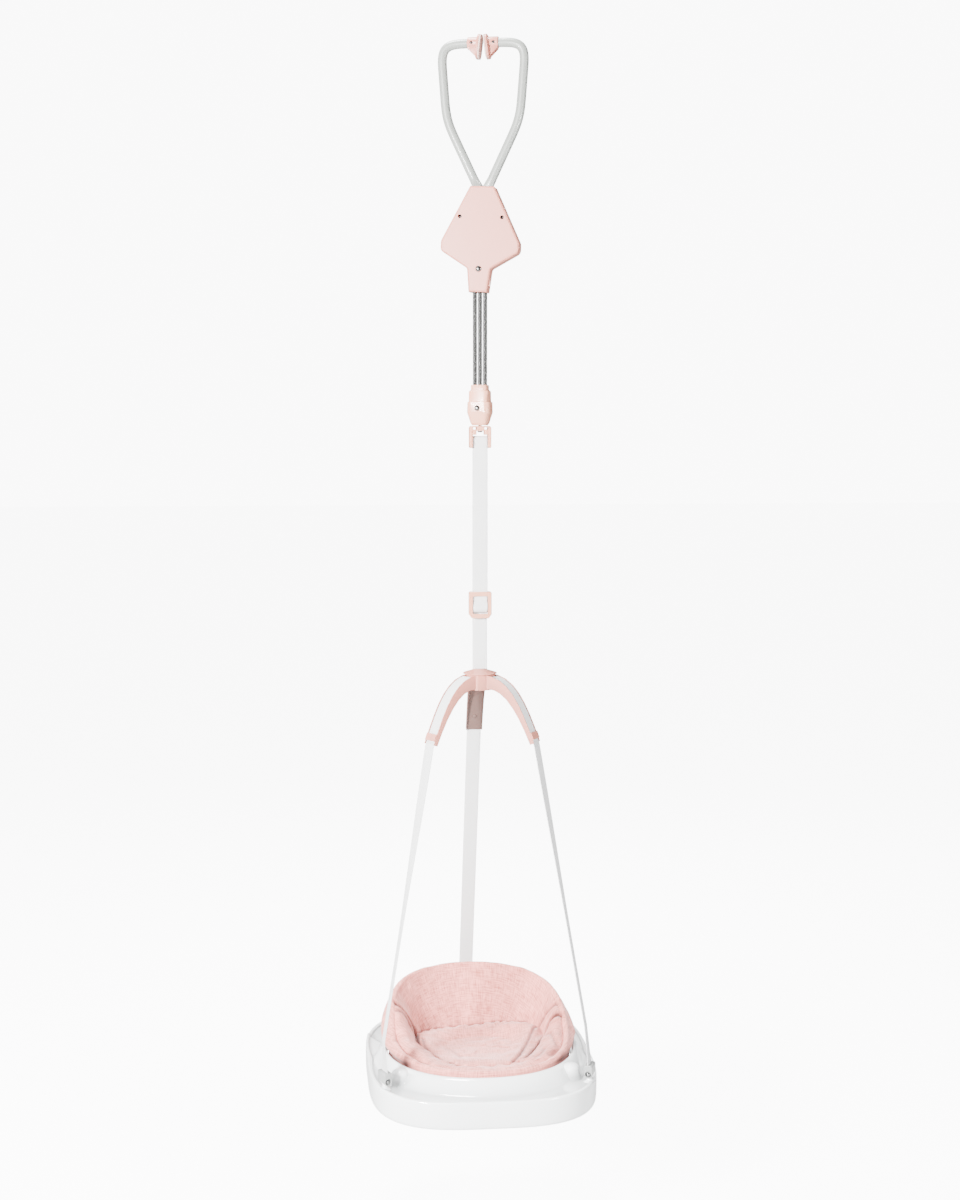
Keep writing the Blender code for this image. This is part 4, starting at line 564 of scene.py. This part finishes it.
def cloth_finish(name, colour, dark, thread, rib, slub, contrast, height, roughness, sheen, sheen_colour,
                 edges=None, painted_fold_shade=None):
    """Woven material on the piece's own map in metres. The threads' tone runs from dark to colour: uneven
    yarn, and painted shade where threads lie low.

    edges is half the webbing's width, where its bound edge darkens and stands up by one thread. The colour
    given for the folds is painted shade at their bottoms. Threads that run zigzag have a rib over 0.6, and
    uneven yarn with a slub over 0.5 has long streaks both ways.
    """
    mat, tree, shader = new_finish(name)
    mapped = node(tree, "SeparateXYZ", Vector=node(tree, "UVMap", 0, {"uv_map": "cloth"})).node.outputs
    across, along = mapped[0], mapped[1]
    zigzag = calculate("PINGPONG", across, 0.0042) if rib > 0.6 else across
    made = placed(tree, woven, {"Across": zigzag, "Along": along, "Thread": thread, "Rib": rib, "Slub": slub})
    tone = plus(times(made["Shade"], contrast), 0.62, True)
    lift = made["Height"]
    clouds = node(tree, "TexNoise", Vector=node(tree, "TexCoord", "Object"), Scale=26.0, Detail=3.0)
    tone = plus(tone, times(minus(clouds, 0.5), 0.14))
    if slub > 0.5:
        for wide, long in ((560.0, 45.0), (50.0, 480.0)):
            way = node(tree, "CombineXYZ", X=times(across, wide), Y=times(along, long))
            streak = node(tree, "TexNoise", Vector=way, Scale=1.0, Detail=2.0)
            tone = plus(tone, times(minus(streak, 0.5), 2.2))
    if edges:
        bound = times(minus(calculate("ABSOLUTE", across), edges - 0.0016), 900.0, True)
        lift = plus(lift, bound)
        tone = minus(tone, times(bound, 0.1))
    shown = blend_colours(tree, plus(tone, 0.0, True), (*dark, 1.0), (*colour, 1.0))
    preset(shader, {
        "Base Color": with_painted_shade(tree, shown, painted_fold_shade), "Roughness": roughness, "Specular IOR Level": 0.25,
        "Sheen Weight": sheen, "Sheen Roughness": 0.45, "Sheen Tint": (*sheen_colour, 1.0),
        "Normal": node(tree, "Bump", Height=lift, Distance=height, Strength=0.8)})
    return mat


webbing = cloth_finish("grey_webbing", (0.7, 0.7, 0.695), (0.4, 0.4, 0.4), 0.00062, 0.8, 0.1, 0.9,
                       0.00018, 0.8, 0.25, (1.0, 1.0, 1.0), WEB_WIDE / 2)


def webbing_band(name, centres, normals, body):
    """Flat band along a line: a ring of 22 points round a rounded rectangle, its faces a little crowned.

    The rectangle's short sides are half circles. u is the place across the band and v the run along it.
    """
    centres, normals = np.asarray(centres, float), np.asarray(normals, float)
    line, run_in = even_line(centres, 0.0025), run_of(centres)
    run = np.linspace(0, run_in[-1], len(line))
    normals = unit(np.stack([np.interp(run, run_in, normals[:, k]) for k in range(3)], axis=1))
    along = unit(np.gradient(line, axis=0))
    across = unit(np.cross(along, normals))
    out = np.cross(across, along)
    w, h = WEB_WIDE / 2, WEB_THICK / 2
    flat, bend = np.linspace(-1, 1, 8) * (w - h), np.radians((45, 0, -45))
    x = np.concatenate((flat, w - h + h * np.cos(bend), flat[::-1], h - w - h * np.cos(bend)))
    y = np.concatenate((np.full(8, h), h * np.sin(bend), np.full(8, -h), -h * np.sin(bend)))
    y = y + np.sign(y) * 0.0001 * (1 - (x / w) ** 2)
    grid = line[:, None] + across[:, None] * x[None, :, None] + out[:, None] * y[None, :, None]
    u = np.broadcast_to(np.append(x, x[0]), (len(line), len(x) + 1))
    v = np.broadcast_to(run[:, None], u.shape)
    return skin(name, grid, webbing, body, uv=np.stack((u, v), axis=-1), sharp=70)


def in_plane(points):
    """Line of (y, z) points in the plane of the hanging strap, with the normals that face forwards."""
    points = np.asarray(points, float)
    line = np.stack((np.full(len(points), LINE[0]), LINE[1] + points[:, 0], points[:, 1]), axis=1)
    along = unit(np.gradient(line, axis=0))
    return line, np.stack((np.zeros(len(line)), along[:, 2], -along[:, 1]), axis=1)


def round_pin(z, radius, first, last):
    """(y, z) points round a pin at height z between two angles in degrees."""
    a = np.radians(np.linspace(first, last, 15))
    return np.stack((radius * np.cos(a), z + radius * np.sin(a)), axis=1)


PIN_HIGH, BAR_LOW, HUB_LOW = -0.6475, -0.933, -1.064
over, wrap, hub_wrap = (pin + 0.0003 + WEB_THICK / 2 for pin in (0.0035, 0.0026, 0.0028))  # round each pin
behind = wrap + WEB_THICK + 0.0003
roll = np.radians(np.concatenate((np.linspace(0, -180, 19), np.linspace(174, 123, 9))))
deep = np.where(np.cos(roll) > 0, wrap, 0.0068)
roll = np.stack((deep * np.cos(roll), BAR_LOW + 0.0094 * np.sin(roll)), axis=1)
upper = np.concatenate((((wrap, BAR_LOW + 0.012),), roll, round_pin(PIN_HIGH, over, 180, 0),
                        ((behind, -0.897), (behind, BAR_LOW - 0.0015))))
lower = np.concatenate((((behind, BAR_LOW - 0.0018), (behind, -0.9625), (hub_wrap, -1.018)),
                        round_pin(HUB_LOW, hub_wrap, 0, -180), ((-hub_wrap, HUB_LOW + 0.005),)))
band = webbing_band("hanging_strap_doubled", *in_plane(upper), None)
blended(band, "strap_upper")
band = webbing_band("hanging_strap_single", *in_plane(lower), None)
blended(band, "strap_lower")

# Height buckle
# A cream frame with a bar at its top and bottom, in front of the strap, and a steel bar across its middle
# that the strap's sewn end is looped round.
smoothed("buckle", "buckle_frame", cream_plastic, "height_buckle", 0.0003, 26.0)
smoothed("buckle_middle_bar", "buckle_bar", plated_steel, "height_buckle")

# Spreader
# A pink moulded hub with three curved arms under a shallow round cap. Each arm is a channel with a web
# between two deep flanges, and carries a harness strap on its outer side, held by a painted rivet.


def write_shade(obj, values):
    """Put one value between 0 and 1 on every point of a mesh: how far its finish is darkened by painted
    shade.
    """
    layer = obj.data.attributes.new("painted_shade_amount", "FLOAT", "POINT")
    layer.data.foreach_set("value", np.clip(values, 0, 1).astype(np.float32).reshape(-1))


hanger = smoothed("spreader_shown", "spreader", pink_plastic, "seat", 0.0004, 26.0)
# Painted shade: the spreader's undersides and the inside of its rear arm are darkened in the colour as the
# shade that falls there.
spots, facing = np.empty((2, len(hanger.data.vertices) * 3), np.float32)
hanger.data.vertices.foreach_get("co", spots)
hanger.data.vertices.foreach_get("normal", facing)
spots, facing = spots.reshape(-1, 3) - LINE, facing.reshape(-1, 3)
undersides = 0.55 * np.clip(-facing[:, 2] - 0.2, 0, 1)
write_shade(hanger, undersides + (spots[:, 1] > 0.012) * (facing[:, 1] < -0.15))  # the rear arm's inside too
smoothed("spreader_cap_shown", "spreader_cap", pink_plastic, "seat", 0.0004, 30.0)
smoothed("hub_pin", "spreader_pin", plated_steel, "seat")
painted_steel = coated("pink_painted_steel", PINK, 0.38, specular=0.35, painted_shade_colour=PINK_PAINTED_SHADE)
for word in ("left", "right", "rear"):
    rivet = smoothed("arm_rivet_" + word, "spreader_rivet_" + word, painted_steel, "seat")
    # The rear rivet takes the same painted shade as the inside of the rear arm.
    write_shade(rivet, np.full(len(rivet.data.vertices), 1.0 if word == "rear" else 0.0))

# Harness straps
# Three lengths of the same webbing. Each starts under the cap, lies in its arm's channel, is riveted
# there, and runs down to its clip on the tray with a slight twist on the way.
HUB_TOP = -1.048
CLIP_HIGH = -1.7122
CHANNEL = 0.003  # an arm's channel is this deep
# A strap's turns in degrees in its arm, below it and at its clip, the clip's place on the tray, and how
# high and how far out the strap bends above the clip
HARNESS = (("left", (-150, -174, -158), (-0.173, -0.128), 0.052, -0.002),
           ("right", (-30, -17, -22), (0.173, -0.128), 0.066, -0.0075),
           ("rear", (90, 90, 90), (0.0, 0.27), 0.02, 0.0))
# An arm's outer line is a cubic curve in its own upright plane. A strap lies a little inside it.
top = HUB_TOP - 0.0004
a, b, c, d = np.array(((0.01, top), (0.06, top), (0.08, -1.095), (0.106, -1.16)))
s = np.linspace(0.12, 1.0, 40)[:, None]
r = 1 - s
slope = unit(r ** 2 * (b - a) + 2 * r * s * (c - b) + s ** 2 * (d - c))
out = np.stack((-slope[:, 1], slope[:, 0]), axis=1)
point = r ** 3 * a + 3 * r ** 2 * s * b + 3 * r * s ** 2 * c + s ** 3 * d
curve = (point - out * (CHANNEL - 0.0003 - WEB_THICK / 2), slope, out)

for word, degrees, (x, y), knee_high, knee_out in HARNESS:
    turn, hang_turn, clip_turn = np.radians(degrees)
    axes = np.array(((math.cos(turn), math.sin(turn), 0.0), (0.0, 0.0, 1.0)))
    bed, slope, out = (pair[:, :1] * axes[0] + pair[:, 1:] * axes[1] for pair in curve)
    bed = LINE + bed
    tip = bed[-1] + slope[-1] * 0.003
    foot = LINE + (x, y, CLIP_HIGH + 0.01)
    knee = LINE + (x + knee_out, y, CLIP_HIGH + 0.0148 + knee_high)
    s = np.linspace(0, 1, 60)[:, None]
    bend = np.concatenate((tip + (knee - tip) * s, knee + (foot - knee) * np.linspace(0.04, 1, 16)[:, None]))
    twisted = eased(np.concatenate((s[:, 0], np.ones(16))) / 0.72)
    near_clip = np.concatenate((np.zeros(60), np.linspace(0, 1, 16) ** 2))
    twist = turn + (hang_turn - turn) * twisted + (clip_turn - hang_turn) * near_clip
    normals = np.concatenate((out, np.stack((np.cos(twist), np.sin(twist), 0 * twist), axis=1)))
    band = webbing_band("harness_strap_" + word, np.concatenate((bed, bend)), normals, "seat")
    stand_in(band, "harness_" + word)

# Tray
# One glossy white moulding shaped like an egg from above: an outer wall, a rim, a shallow trough and a
# broad roll that rises to the lip of the seat's hole, with two domes on the roll's front corners.
# The white's second colour is painted shade, for the trough, the rim's inner line and the domes' feet.
white_gloss = coated("white_gloss_plastic", (0.8, 0.815, 0.815), 0.09, 0.02, 0.05, 0.0012, 0.15, coat=0.6,
                     depth=0.00002, painted_shade_colour=(0.36, 0.37, 0.37))
TRAY_MIDDLE = np.array((0.0, 0.02))
TRAY_EDGE = (0.197, 0.236, 0.265, 3.2)  # half width, reach to the front and rear, squareness
HOLE_EDGE = (0.163, 0.172, 0.175, 2.2)
TRAY_FOOT, RIM_HIGH, TROUGH_HIGH, LIP_HIGH = -1.772, -1.725, -1.7296, -1.7055
TRAY_DOME = np.array((0.1455, -0.101))
DOME_HIGH, DOME_R = -1.704, 0.015


def egg(turns, half, front, rear, power):
    """Superellipse whose front and rear reach differ: sign and power of the cosine and sine of the turn."""
    c, s = np.cos(turns), np.sin(turns)
    x = half * np.sign(c) * np.abs(c) ** (2 / power)
    y = np.where(s > 0, rear, front) * np.sign(s) * np.abs(s) ** (2 / power)
    return TRAY_MIDDLE + np.stack((x, y), axis=-1)


def lathed(radius, height, count):
    """Profile turned about the vertical: (r cos t, r sin t, h)."""
    t = full_turn(count)
    tall = np.repeat(np.asarray(height)[:, None], count, axis=1)
    return np.stack((np.outer(radius, np.cos(t)), np.outer(radius, np.sin(t)), tall), axis=-1)


fine = np.linspace(0, 2 * np.pi, 4001)
run = run_of(egg(fine, *TRAY_EDGE))
turns = np.interp(np.linspace(0, run[-1], 300, endpoint=False), run, fine)  # even along the outer edge
outer, inner = egg(turns, *TRAY_EDGE), egg(turns, *HOLE_EDGE)
width = np.linalg.norm(inner - outer, axis=1)
inward = (inner - outer) / width[:, None]
rear_share, side_share = (outer[:, 1] - 0.15) / 0.01, (np.abs(outer[:, 0]) - 0.075) / 0.02
drop = 0.006 * np.clip(rear_share, 0, 1) * np.clip(side_share, 0, 1)  # the rim is lower at its rear corners
rim, trough = RIM_HIGH - drop, TROUGH_HIGH - drop
from_front = np.abs((np.degrees(turns) + 270) % 360 - 180)
# The section as lists of insets and heights: outer wall, rim, trough, roll, lip and the wall of the hole
d = [0 * width + v for v in (0.011, 0.006, 0.0015, 0.0002, 0.0, 0.001, 0.003, 0.0086, 0.01, 0.012)]
z = [0 * width + v for v in (TRAY_FOOT, TRAY_FOOT, -1.77, -1.76, -1.733)]
z += [rim - 0.0012, rim, rim, trough + 0.0004, trough]
roll_wide = np.interp(from_front, (0, 40, 70, 92, 112, 150, 180),
                      (0.031, 0.03, 0.027, 0.022, 0.024, 0.045, 0.06))
for part in np.linspace(0.04, 0.95, 12):
    d.append(0.012 + (width - 0.016) * part)
    z.append(LIP_HIGH - (LIP_HIGH - trough) * eased((width - 0.004 - d[-1]) / roll_wide))
d += [width - 0.004, width - 0.001, width, width, width]
z += [0 * width + LIP_HIGH - v for v in (0.0, 0.0004, 0.003, 0.01, 0.024)]
section = np.stack((np.stack(d, axis=1), np.stack(z, axis=1)), axis=-1)
for _ in range(2):  # cut its corners off at a quarter and three quarters of each side
    near, far = (part * section[:, :-1] + (1 - part) * section[:, 1:] for part in (0.75, 0.25))
    middle = np.stack((near, far), axis=2).reshape(len(section), -1, 2)
    section = np.concatenate((section[:, :1], middle, section[:, -1:]), axis=1)
flat = outer[:, None] + inward[:, None] * section[..., :1]
grid = np.concatenate((flat, section[..., 1:]), axis=-1) + LINE
tray = skin("seat_tray", grid, white_gloss, "seat", around=False, loop=True, sharp=60)
# Painted shade in the trough, along the rim's inner line and round the foot of each dome
inset, level = section[..., 0], section[..., 1]
past_rim = inset > 0.0094
low = np.clip((LIP_HIGH - level) / (LIP_HIGH - trough)[:, None], 0, 1) ** 1.6 * past_rim
corner = np.exp(-((np.abs((np.degrees(turns) + 450) % 360 - 180) - 52) / 17) ** 2)[:, None]
to_dome = np.minimum(*[np.linalg.norm(flat - TRAY_DOME * (side, 1), axis=2) for side in (-1, 1)])
shade = low * (0.1 + 0.34 * np.clip((95 - from_front) / 30, 0, 1)[:, None] + 0.5 * corner)
shade = shade + 0.75 * np.exp(-((inset - 0.0106) / 0.0011) ** 2) * past_rim
shade = shade + 0.55 * np.exp(-np.clip(to_dome - 0.0185, 0, 1) / 0.0065) * (level < LIP_HIGH - 0.004)
write_shade(tray, shade)
adjust(tray.modifiers.new("wall", "SOLIDIFY"), thickness=0.0026, offset=-1.0)
stand_in(tray, "tray")
smoothed("cloth_ring", "tray_ring", white_gloss, "seat", sharp=40)
for side, word in SIDES:
    a = np.linspace(0.02, 0.5, 14) * np.pi
    radius = np.concatenate((DOME_R * np.sin(a) ** 0.85, (0.0158, 0.0172, 0.0205)))
    height = np.concatenate((DOME_HIGH - 0.0095 * (1 - np.cos(a)), (-1.719, -1.724, -1.73)))
    place = LINE + (side * TRAY_DOME[0], TRAY_DOME[1], 0)
    bump = skin("tray_dome_" + word, lathed(radius, height, 56) + place, white_gloss, "seat", sharp=70)
    # Painted shade round the foot of the dome.
    write_shade(bump, np.repeat(np.clip((-1.714 - height) / 0.012, 0, 1)[:, None], 56, 1))

# Strap clips
# Glossy grey-white mouldings that the straps' ends are held in: a round barrel with a flat-topped neck,
# a steel cross pin sunk in its ends and a foot screwed down on a boss of the tray.
CLIP_HALF, CLIP_TALL, CLIP_BORE = 0.007, 0.0148, 0.0052
clip_plastic = coated("clip_gloss_plastic", (0.27, 0.275, 0.27), 0.22, 0.04, 0.06, 0.0008, 0.3, coat=0.35)
dark_steel = coated("oiled_steel", (0.3, 0.3, 0.3), 0.32, 0.2, 0.1, 0.0009, 0.4, metal=1.0)
# The outline is a circle below and a box above its middle, drawn in at both ends round a sunk bore. Each
# row of half of it gives an inset from the outline, or the bore's radius instead, and a place
a = full_turn(96) + 0.01
c, s = np.cos(a), np.sin(a)
box = np.minimum(CLIP_HALF / np.maximum(np.abs(c), 1e-6), CLIP_TALL / np.maximum(s, 1e-6))
reach = np.where(s > 0, box, CLIP_HALF)
reach = np.convolve(np.concatenate((reach[-2:], reach, reach[:2])), (0.1, 0.2, 0.4, 0.2, 0.1), "valid")
half = ((None, CLIP_BORE, 0.008), (None, CLIP_BORE, 0.0136), (None, CLIP_BORE + 0.0003, 0.014),
        (0.0012, None, 0.014), (0.0004, None, 0.0137), (0.0, None, 0.0128))
rows = []
for inset, bore, place in [(i, b, -p) for i, b, p in half] + list(half[::-1]):
    r = reach - inset if bore is None else bore
    rows.append(np.stack((np.full(len(a), place), c * r, s * r), axis=1))
radius = (0.0042, 0.0042, 0.005, 0.0051, 0.0056, 0.0075, 0.0105)
height = np.array((0.007, 0.0002, -0.0001, -0.0016, -0.003, -0.0046, -0.0062)) - 0.0103
boss = lathed(radius, height, 40)
radius = (0.0006, 0.0018, 0.0027, 0.003, 0.003, 0.0027, 0.0018, 0.0006)
place = (-0.0132, -0.0131, -0.0128, -0.0122, 0.0122, 0.0128, 0.0131, 0.0132)
rod = lathed(radius, place, 40)[..., (2, 0, 1)] - (0, 0, 0.0012)
for word, degrees, (x, y), _, _ in HARNESS:
    there = LINE + (x, y, CLIP_HIGH)
    across = math.radians(degrees[2]) - math.pi / 2
    block, pin = (turn_z(np.array(shape), across) + there for shape in (rows, rod))
    block = skin("strap_clip_" + word, block, clip_plastic, "seat", sharp=50)
    stand_in(block, "clip_" + word)
    skin("clip_boss_" + word, boss + there, white_gloss, "seat", sharp=50)
    pin = skin("clip_cross_pin_" + word, pin, dark_steel, "seat", sharp=50)
    stand_in(pin, "clip_pin_" + word)
    refinish(plated_steel, "clip_screw_" + word)

# Seat cloth
# A sling of soft pink linen, clamped under the tray's hole by the ring. A padded back and two puffed wings
# stand above the tray, the pan is gathered into them, and the leg slits open under the wings' hems.
linen = cloth_finish("pink_linen", (0.74, 0.275, 0.232), (0.4, 0.115, 0.092), 0.00075, 0.25, 0.85, 0.85,
                     0.00016, 0.88, 0.4, (1.0, 0.88, 0.86), painted_fold_shade=(0.085, 0.022, 0.017))
COLUMNS = 312
CLOTH_FOOT, CLOTH_LIP, PAN_HIGH = -1.729, -1.699, -1.7125
SLIT_TURNS, SLIT_REACH = (-26.5, -153.5), 23.0  # the leg slits' middles and half lengths, in degrees
# Round the sling: turn in degrees, then in millimetres the seam's distance from the hole's middle, and the
# heights of the seam and of the top edge above CLOTH_LIP
RING = ((-175, 113, -8.5, 19), (-165, 107.1, -10.5, 12.5), (-153, 106, -12, 7.5), (-142, 109, -12, 4),
        (-130, 117.7, -11, 1.5), (-118, 123, -10, 0), (-104, 122, -9, 0), (-90, 120, -8.5, 0),
        (-76, 122, -9, 0), (-62, 123, -10, 0), (-50, 117.7, -11, 0), (-38, 109, -12, 2.5), (-27, 106, -12, 6),
        (-15, 107.1, -11, 11.5), (-4, 112.7, -9, 18), (2, 118, -7, 31), (11, 122, -4, 48), (21, 124, -1, 61),
        (32, 121, 0.5, 71), (50, 111, -2, 81), (71, 107.5, -7.5, 86.5), (90, 101, -10.5, 89),
        (108, 102, -10.5, 88), (124, 105.5, -10, 86), (140, 111, -8.5, 83), (153, 115.5, -6, 76),
        (165, 117, -5.5, 67), (174, 116, -6.5, 54), (180, 115, -7.5, 37))
# Folds and hems as seen from above, in millimetres: points, depth and half width, and then the darkness of
# their painted shade
FOLDS = (
    (((150, 33), (138, 32.5), (124, 31), (112.8, 13.1), (94.5, -28), (76.2, -69.1), (70, -85)),
     7.5, 2.6, 1.0),
    (((150, 56), (134.7, 59.5), (123.8, 69), (116.5, 73), (106, 66), (95.6, 39.2), (75.3, -21.2), (60, -64),
      (47, -86)), 3, 2.4, 0.42),
    (((-148, 54), (-138, 53), (-126, 59), (-115.1, 70), (-107, 60), (-107.5, 30), (-106.5, 0), (-94.5, -28),
      (-76.2, -69.1), (-70, -85)), 5.2, 2.4, 0.8),
    (((-144, 40), (-127, 45), (-116, 57), (-110.5, 45)), 2, 1.8, 0.4),
    (((-97.5, 30), (-96, 2.7), (-90, -40), (-78, -74), (-60, -90)), 2.2, 3, 0.35),
    (((122.7, -4.3), (126, -30.8), (131, -51.6)), 2.2, 4, 0.22),
    (((86.3, -89), (99.7, -77.9), (105.4, -60.1)), 2, 3.2, 0.25),
    (((111.4, -81.9), (121.4, -75.8), (129.9, -60.9)), 2.4, 4, 0.2),
    (((-101, -98), (-118, -82), (-123, -62)), 2, 4.5, 0.18))


def value_noise(u, v, seed):
    """Smooth noise between -1 and 1: random heights on a unit lattice, blended by cubic steps."""
    lattice = np.random.default_rng(seed).uniform(-1, 1, (256, 256))
    i, j = np.floor(u).astype(int), np.floor(v).astype(int)
    a, b = eased(u - i), eased(v - j)
    near, far = (lattice[k % 256, j % 256] * (1 - b) + lattice[k % 256, (j + 1) % 256] * b
                 for k in (i, i + 1))
    return near * (1 - a) + far * a


def around_ring(turns, table):
    """Columns of a table of turns in degrees, joined by straight lines all the way round and evened out."""
    table = np.array(table, float)
    once = np.zeros((1, table.shape[1]))
    once[0, 0] = 360.0
    table = np.concatenate((table[-1:] - once, table, table[:1] + once))
    place = np.degrees((turns + np.pi) % (2 * np.pi) - np.pi)
    weights = np.hanning(17)[1:-1] / np.hanning(17).sum()
    rings = [np.interp(place, table[:, 0], table[:, k]) for k in range(1, table.shape[1])]
    return [np.convolve(np.concatenate((ring[-7:], ring, ring[:7])), weights, "valid") for ring in rings]


def from_line(places, corners):
    """Distance of places from a line through corners, both in millimetres: the least over its parts."""
    corners = even_line(corners, 4)
    corners = softened(corners, min(4, len(corners) - 2))
    start, way = corners[:-1], np.diff(corners, axis=0)
    to = places[..., None, :] - start
    share = np.clip((to * way).sum(axis=-1) / (way * way).sum(axis=-1), 0, 1)
    return np.linalg.norm(to - share[..., None] * way, axis=-1).min(axis=-1)


def bell(x, reach):
    """Bell curve of height one round zero."""
    return np.exp(-(x / reach) ** 2)


turns = full_turn(COLUMNS)
signed = np.degrees((turns + np.pi) % (2 * np.pi) - np.pi)
edge = egg(turns, *HOLE_EDGE) - TRAY_MIDDLE
reach = np.linalg.norm(edge, axis=1)
ray = edge / reach[:, None]
reach = reach - 0.0042
seam_r, seam_h, top_z = 0.001 * np.array(around_ring(turns, RING)) + ((0.0,), (CLOTH_LIP,), (CLOTH_LIP,))
stand = np.maximum(top_z - CLOTH_LIP, 1e-6)  # how far the cloth stands above the lip
back = eased((top_z - CLOTH_LIP) / 0.075)
side = np.cos(turns) ** 2
puffed = 1 - eased((edge[:, 1] - 0.01) / 0.085)  # one where there is a wing or the front roll

rows_r, rows_z = [], []
for k in np.linspace(0, 1, 12):  # outer skin, from the ring up to the top edge
    z = CLOTH_FOOT + (top_z - 0.005 - CLOTH_FOOT) * k
    above = np.clip((z + 1.704) / stand, 0, 1)
    bulge = np.minimum(0.013, 0.5 * stand) * (0.35 + 0.65 * side) * np.sin(np.pi * above) ** 0.8
    rows_r.append(reach - 0.0004 + bulge)
    rows_z.append(z)
for k in np.linspace(0, 1, 9)[1:]:  # rolled top edge
    rows_r.append(reach - 0.0004 - 0.0055 * (1 - np.cos(np.pi * k)))
    rows_z.append(top_z - 0.005 + 0.0058 * np.sin(np.pi * k))
outer_rows = len(rows_r)
start_r, start_z = rows_r[-1], rows_z[-1]
for k in np.linspace(0, 1, 52)[1:]:  # inner side, from the top edge to the seam
    fall = (1 - (1 - k) ** 1.35) * back + k * (1 - back)
    puff = (0.005 + 0.0115 * side) * puffed * np.sin(np.pi * np.clip(k * 0.94, 0, 1)) ** 0.7
    rows_r.append(start_r + (seam_r - start_r) * k)
    rows_z.append(start_z + (seam_h - start_z) * fall + puff + 0.006 * back * np.sin(np.pi * k))
seam_row = len(rows_r) - 1
for k in np.linspace(0, 1, 56)[1:] ** 1.12:  # pan, from the seam to its middle
    flatter = eased(k / 0.55)
    rows_r.append(seam_r * (1 - k) + 0.0015 * k)
    puff = 0.007 * np.sin(np.pi * np.clip(k / 0.5, 0, 1)) ** 0.8
    rows_z.append(seam_h * (1 - flatter) + PAN_HIGH * flatter + puff)
r, z = np.array(rows_r), np.array(rows_z)

# The leg slits lie in the seam below the wings: its two rows part there along a narrow oval
from_slit = np.minimum(*[np.abs(signed - turn) for turn in SLIT_TURNS]) / SLIT_REACH
gape = 0.0021 * np.sqrt(np.clip(1 - from_slit ** 2, 0, 1))
r[seam_row] += gape
r[seam_row + 1] = np.where(from_slit < 1, seam_r - gape, r[seam_row + 1])
plan = TRAY_MIDDLE + ray[None] * r[..., None]
grid = np.concatenate((plan, z[..., None]), axis=-1)

# Folds: grooves along the lines above, gathers that fade away from the seam, long soft ones up the back,
# and small creases everywhere
i = np.arange(len(r))[:, None]
inside = np.where(i >= outer_rows, 1.0, np.clip((i - outer_rows + 5) / 5, 0, 1))
run = run_of(grid)
from_seam = run - run[seam_row]
sewn = np.maximum(eased((signed - 28) / 14) * eased((160 - signed) / 14),
                  eased((signed + 132) / 12) * eased((-56 - signed) / 12))
wander = value_noise(turns[None] * 3.0, i * 0.08, 3)
beat = 0.5 + 0.5 * np.sin(34 * turns[None] + 2.2 * value_noise(turns[None] * 6, 0 * i, 5))
push = -0.0042 * sewn * bell(from_seam, 0.003)
push = push + sewn * (beat - 0.5) * 0.0046 * np.exp(-np.abs(from_seam) / 0.011)
long_fold = value_noise(turns[None] * 9.0 + 0.6 * wander, i * 0.012 + 5.0, 11) * (from_seam <= 0)
at_back = eased((signed - 40) / 30) * eased((178 - signed) / 30)
push = push + long_fold * 0.0068 * at_back * np.exp(from_seam / 0.052)
for scale, rise, sway, seed, height in (
        (42, 30, 1, 21, 0.0016), (95, 70, 1, 23, 0.0006), (230, 150, 0, 31, 0.00018)):
    u, v = plan[..., 0] * scale + sway * wander, plan[..., 1] * scale + z * rise
    push = push + value_noise(u, v, seed) * height
# Painted shade: the cloth's colour darkens in the gathers at the seam, where its edge tucks under the tray's
# lip, and along the folds above.
shade = 0.8 * sewn * bell(from_seam, 0.0032) * (0.6 + 0.4 * (1 - beat))
shade = shade + 0.26 * sewn * np.exp(-np.abs(from_seam) / 0.012) * (1 - beat) ** 2
tucked = eased((60 - np.abs(signed)) / 30) + eased((np.abs(signed) - 130) / 20)
shade = shade + (i < 12) * tucked * bell(z + 1.7045, 0.0058)
for corners, groove, half, dark in FOLDS:
    away = from_line(plan * 1000, corners)
    push = push - inside * 0.001 * groove * (bell(away, half) - 0.35 * bell(away - 2.6 * half, 2 * half))
    shade = shade + inside * dark * (1.5 * bell(away, 1.15 * half) + 0.42 * np.exp(-away / (3.4 * half)))
du = np.roll(grid, -1, axis=1) - np.roll(grid, 1, axis=1)
normal = unit(np.cross(np.gradient(grid, axis=0), du) + 1e-15)
normal *= np.where(normal[seam_row + 20].mean(axis=0)[2] > 0, 1.0, -1.0)
grid = grid + normal * (push * (0.35 + 0.65 * inside) * np.clip((i + 1) / 6, 0, 1))[..., None]
grid[-1] = grid[-1].mean(axis=0) + (grid[-1] - grid[-1].mean(axis=0)) * (1, 1, 0)

# The cloth's map: round and along the panels above the seam, and flat across the pan
closed, run = (np.concatenate((values, values[:, :1]), axis=1) for values in (grid, run))
panel = np.stack((np.broadcast_to(0.14 * np.append(turns, 2 * np.pi), run.shape), run), axis=-1)
flat_map = np.where((i > seam_row)[..., None], closed[..., :2], panel)
cloth = skin("seat_sling", grid + LINE, linen, "seat", uv=flat_map, sharp=180)
write_shade(cloth, shade)
bm = bmesh.new()
bm.from_mesh(cloth.data)
bm.faces.ensure_lookup_table()
parted = [seam_row * COLUMNS + c for c in np.nonzero(from_slit < 0.97)[0].tolist()]
parted.append(len(bm.faces) - 2)  # the flat end at the ring, as the sling is open below
bmesh.ops.delete(bm, geom=[bm.faces[f] for f in parted], context="FACES_ONLY")
bm.to_mesh(cloth.data)
bm.free()
adjust(cloth.modifiers.new("padding", "SOLIDIFY"), thickness=0.0018, offset=-1.0)
stand_in(cloth, "seat_cloth")
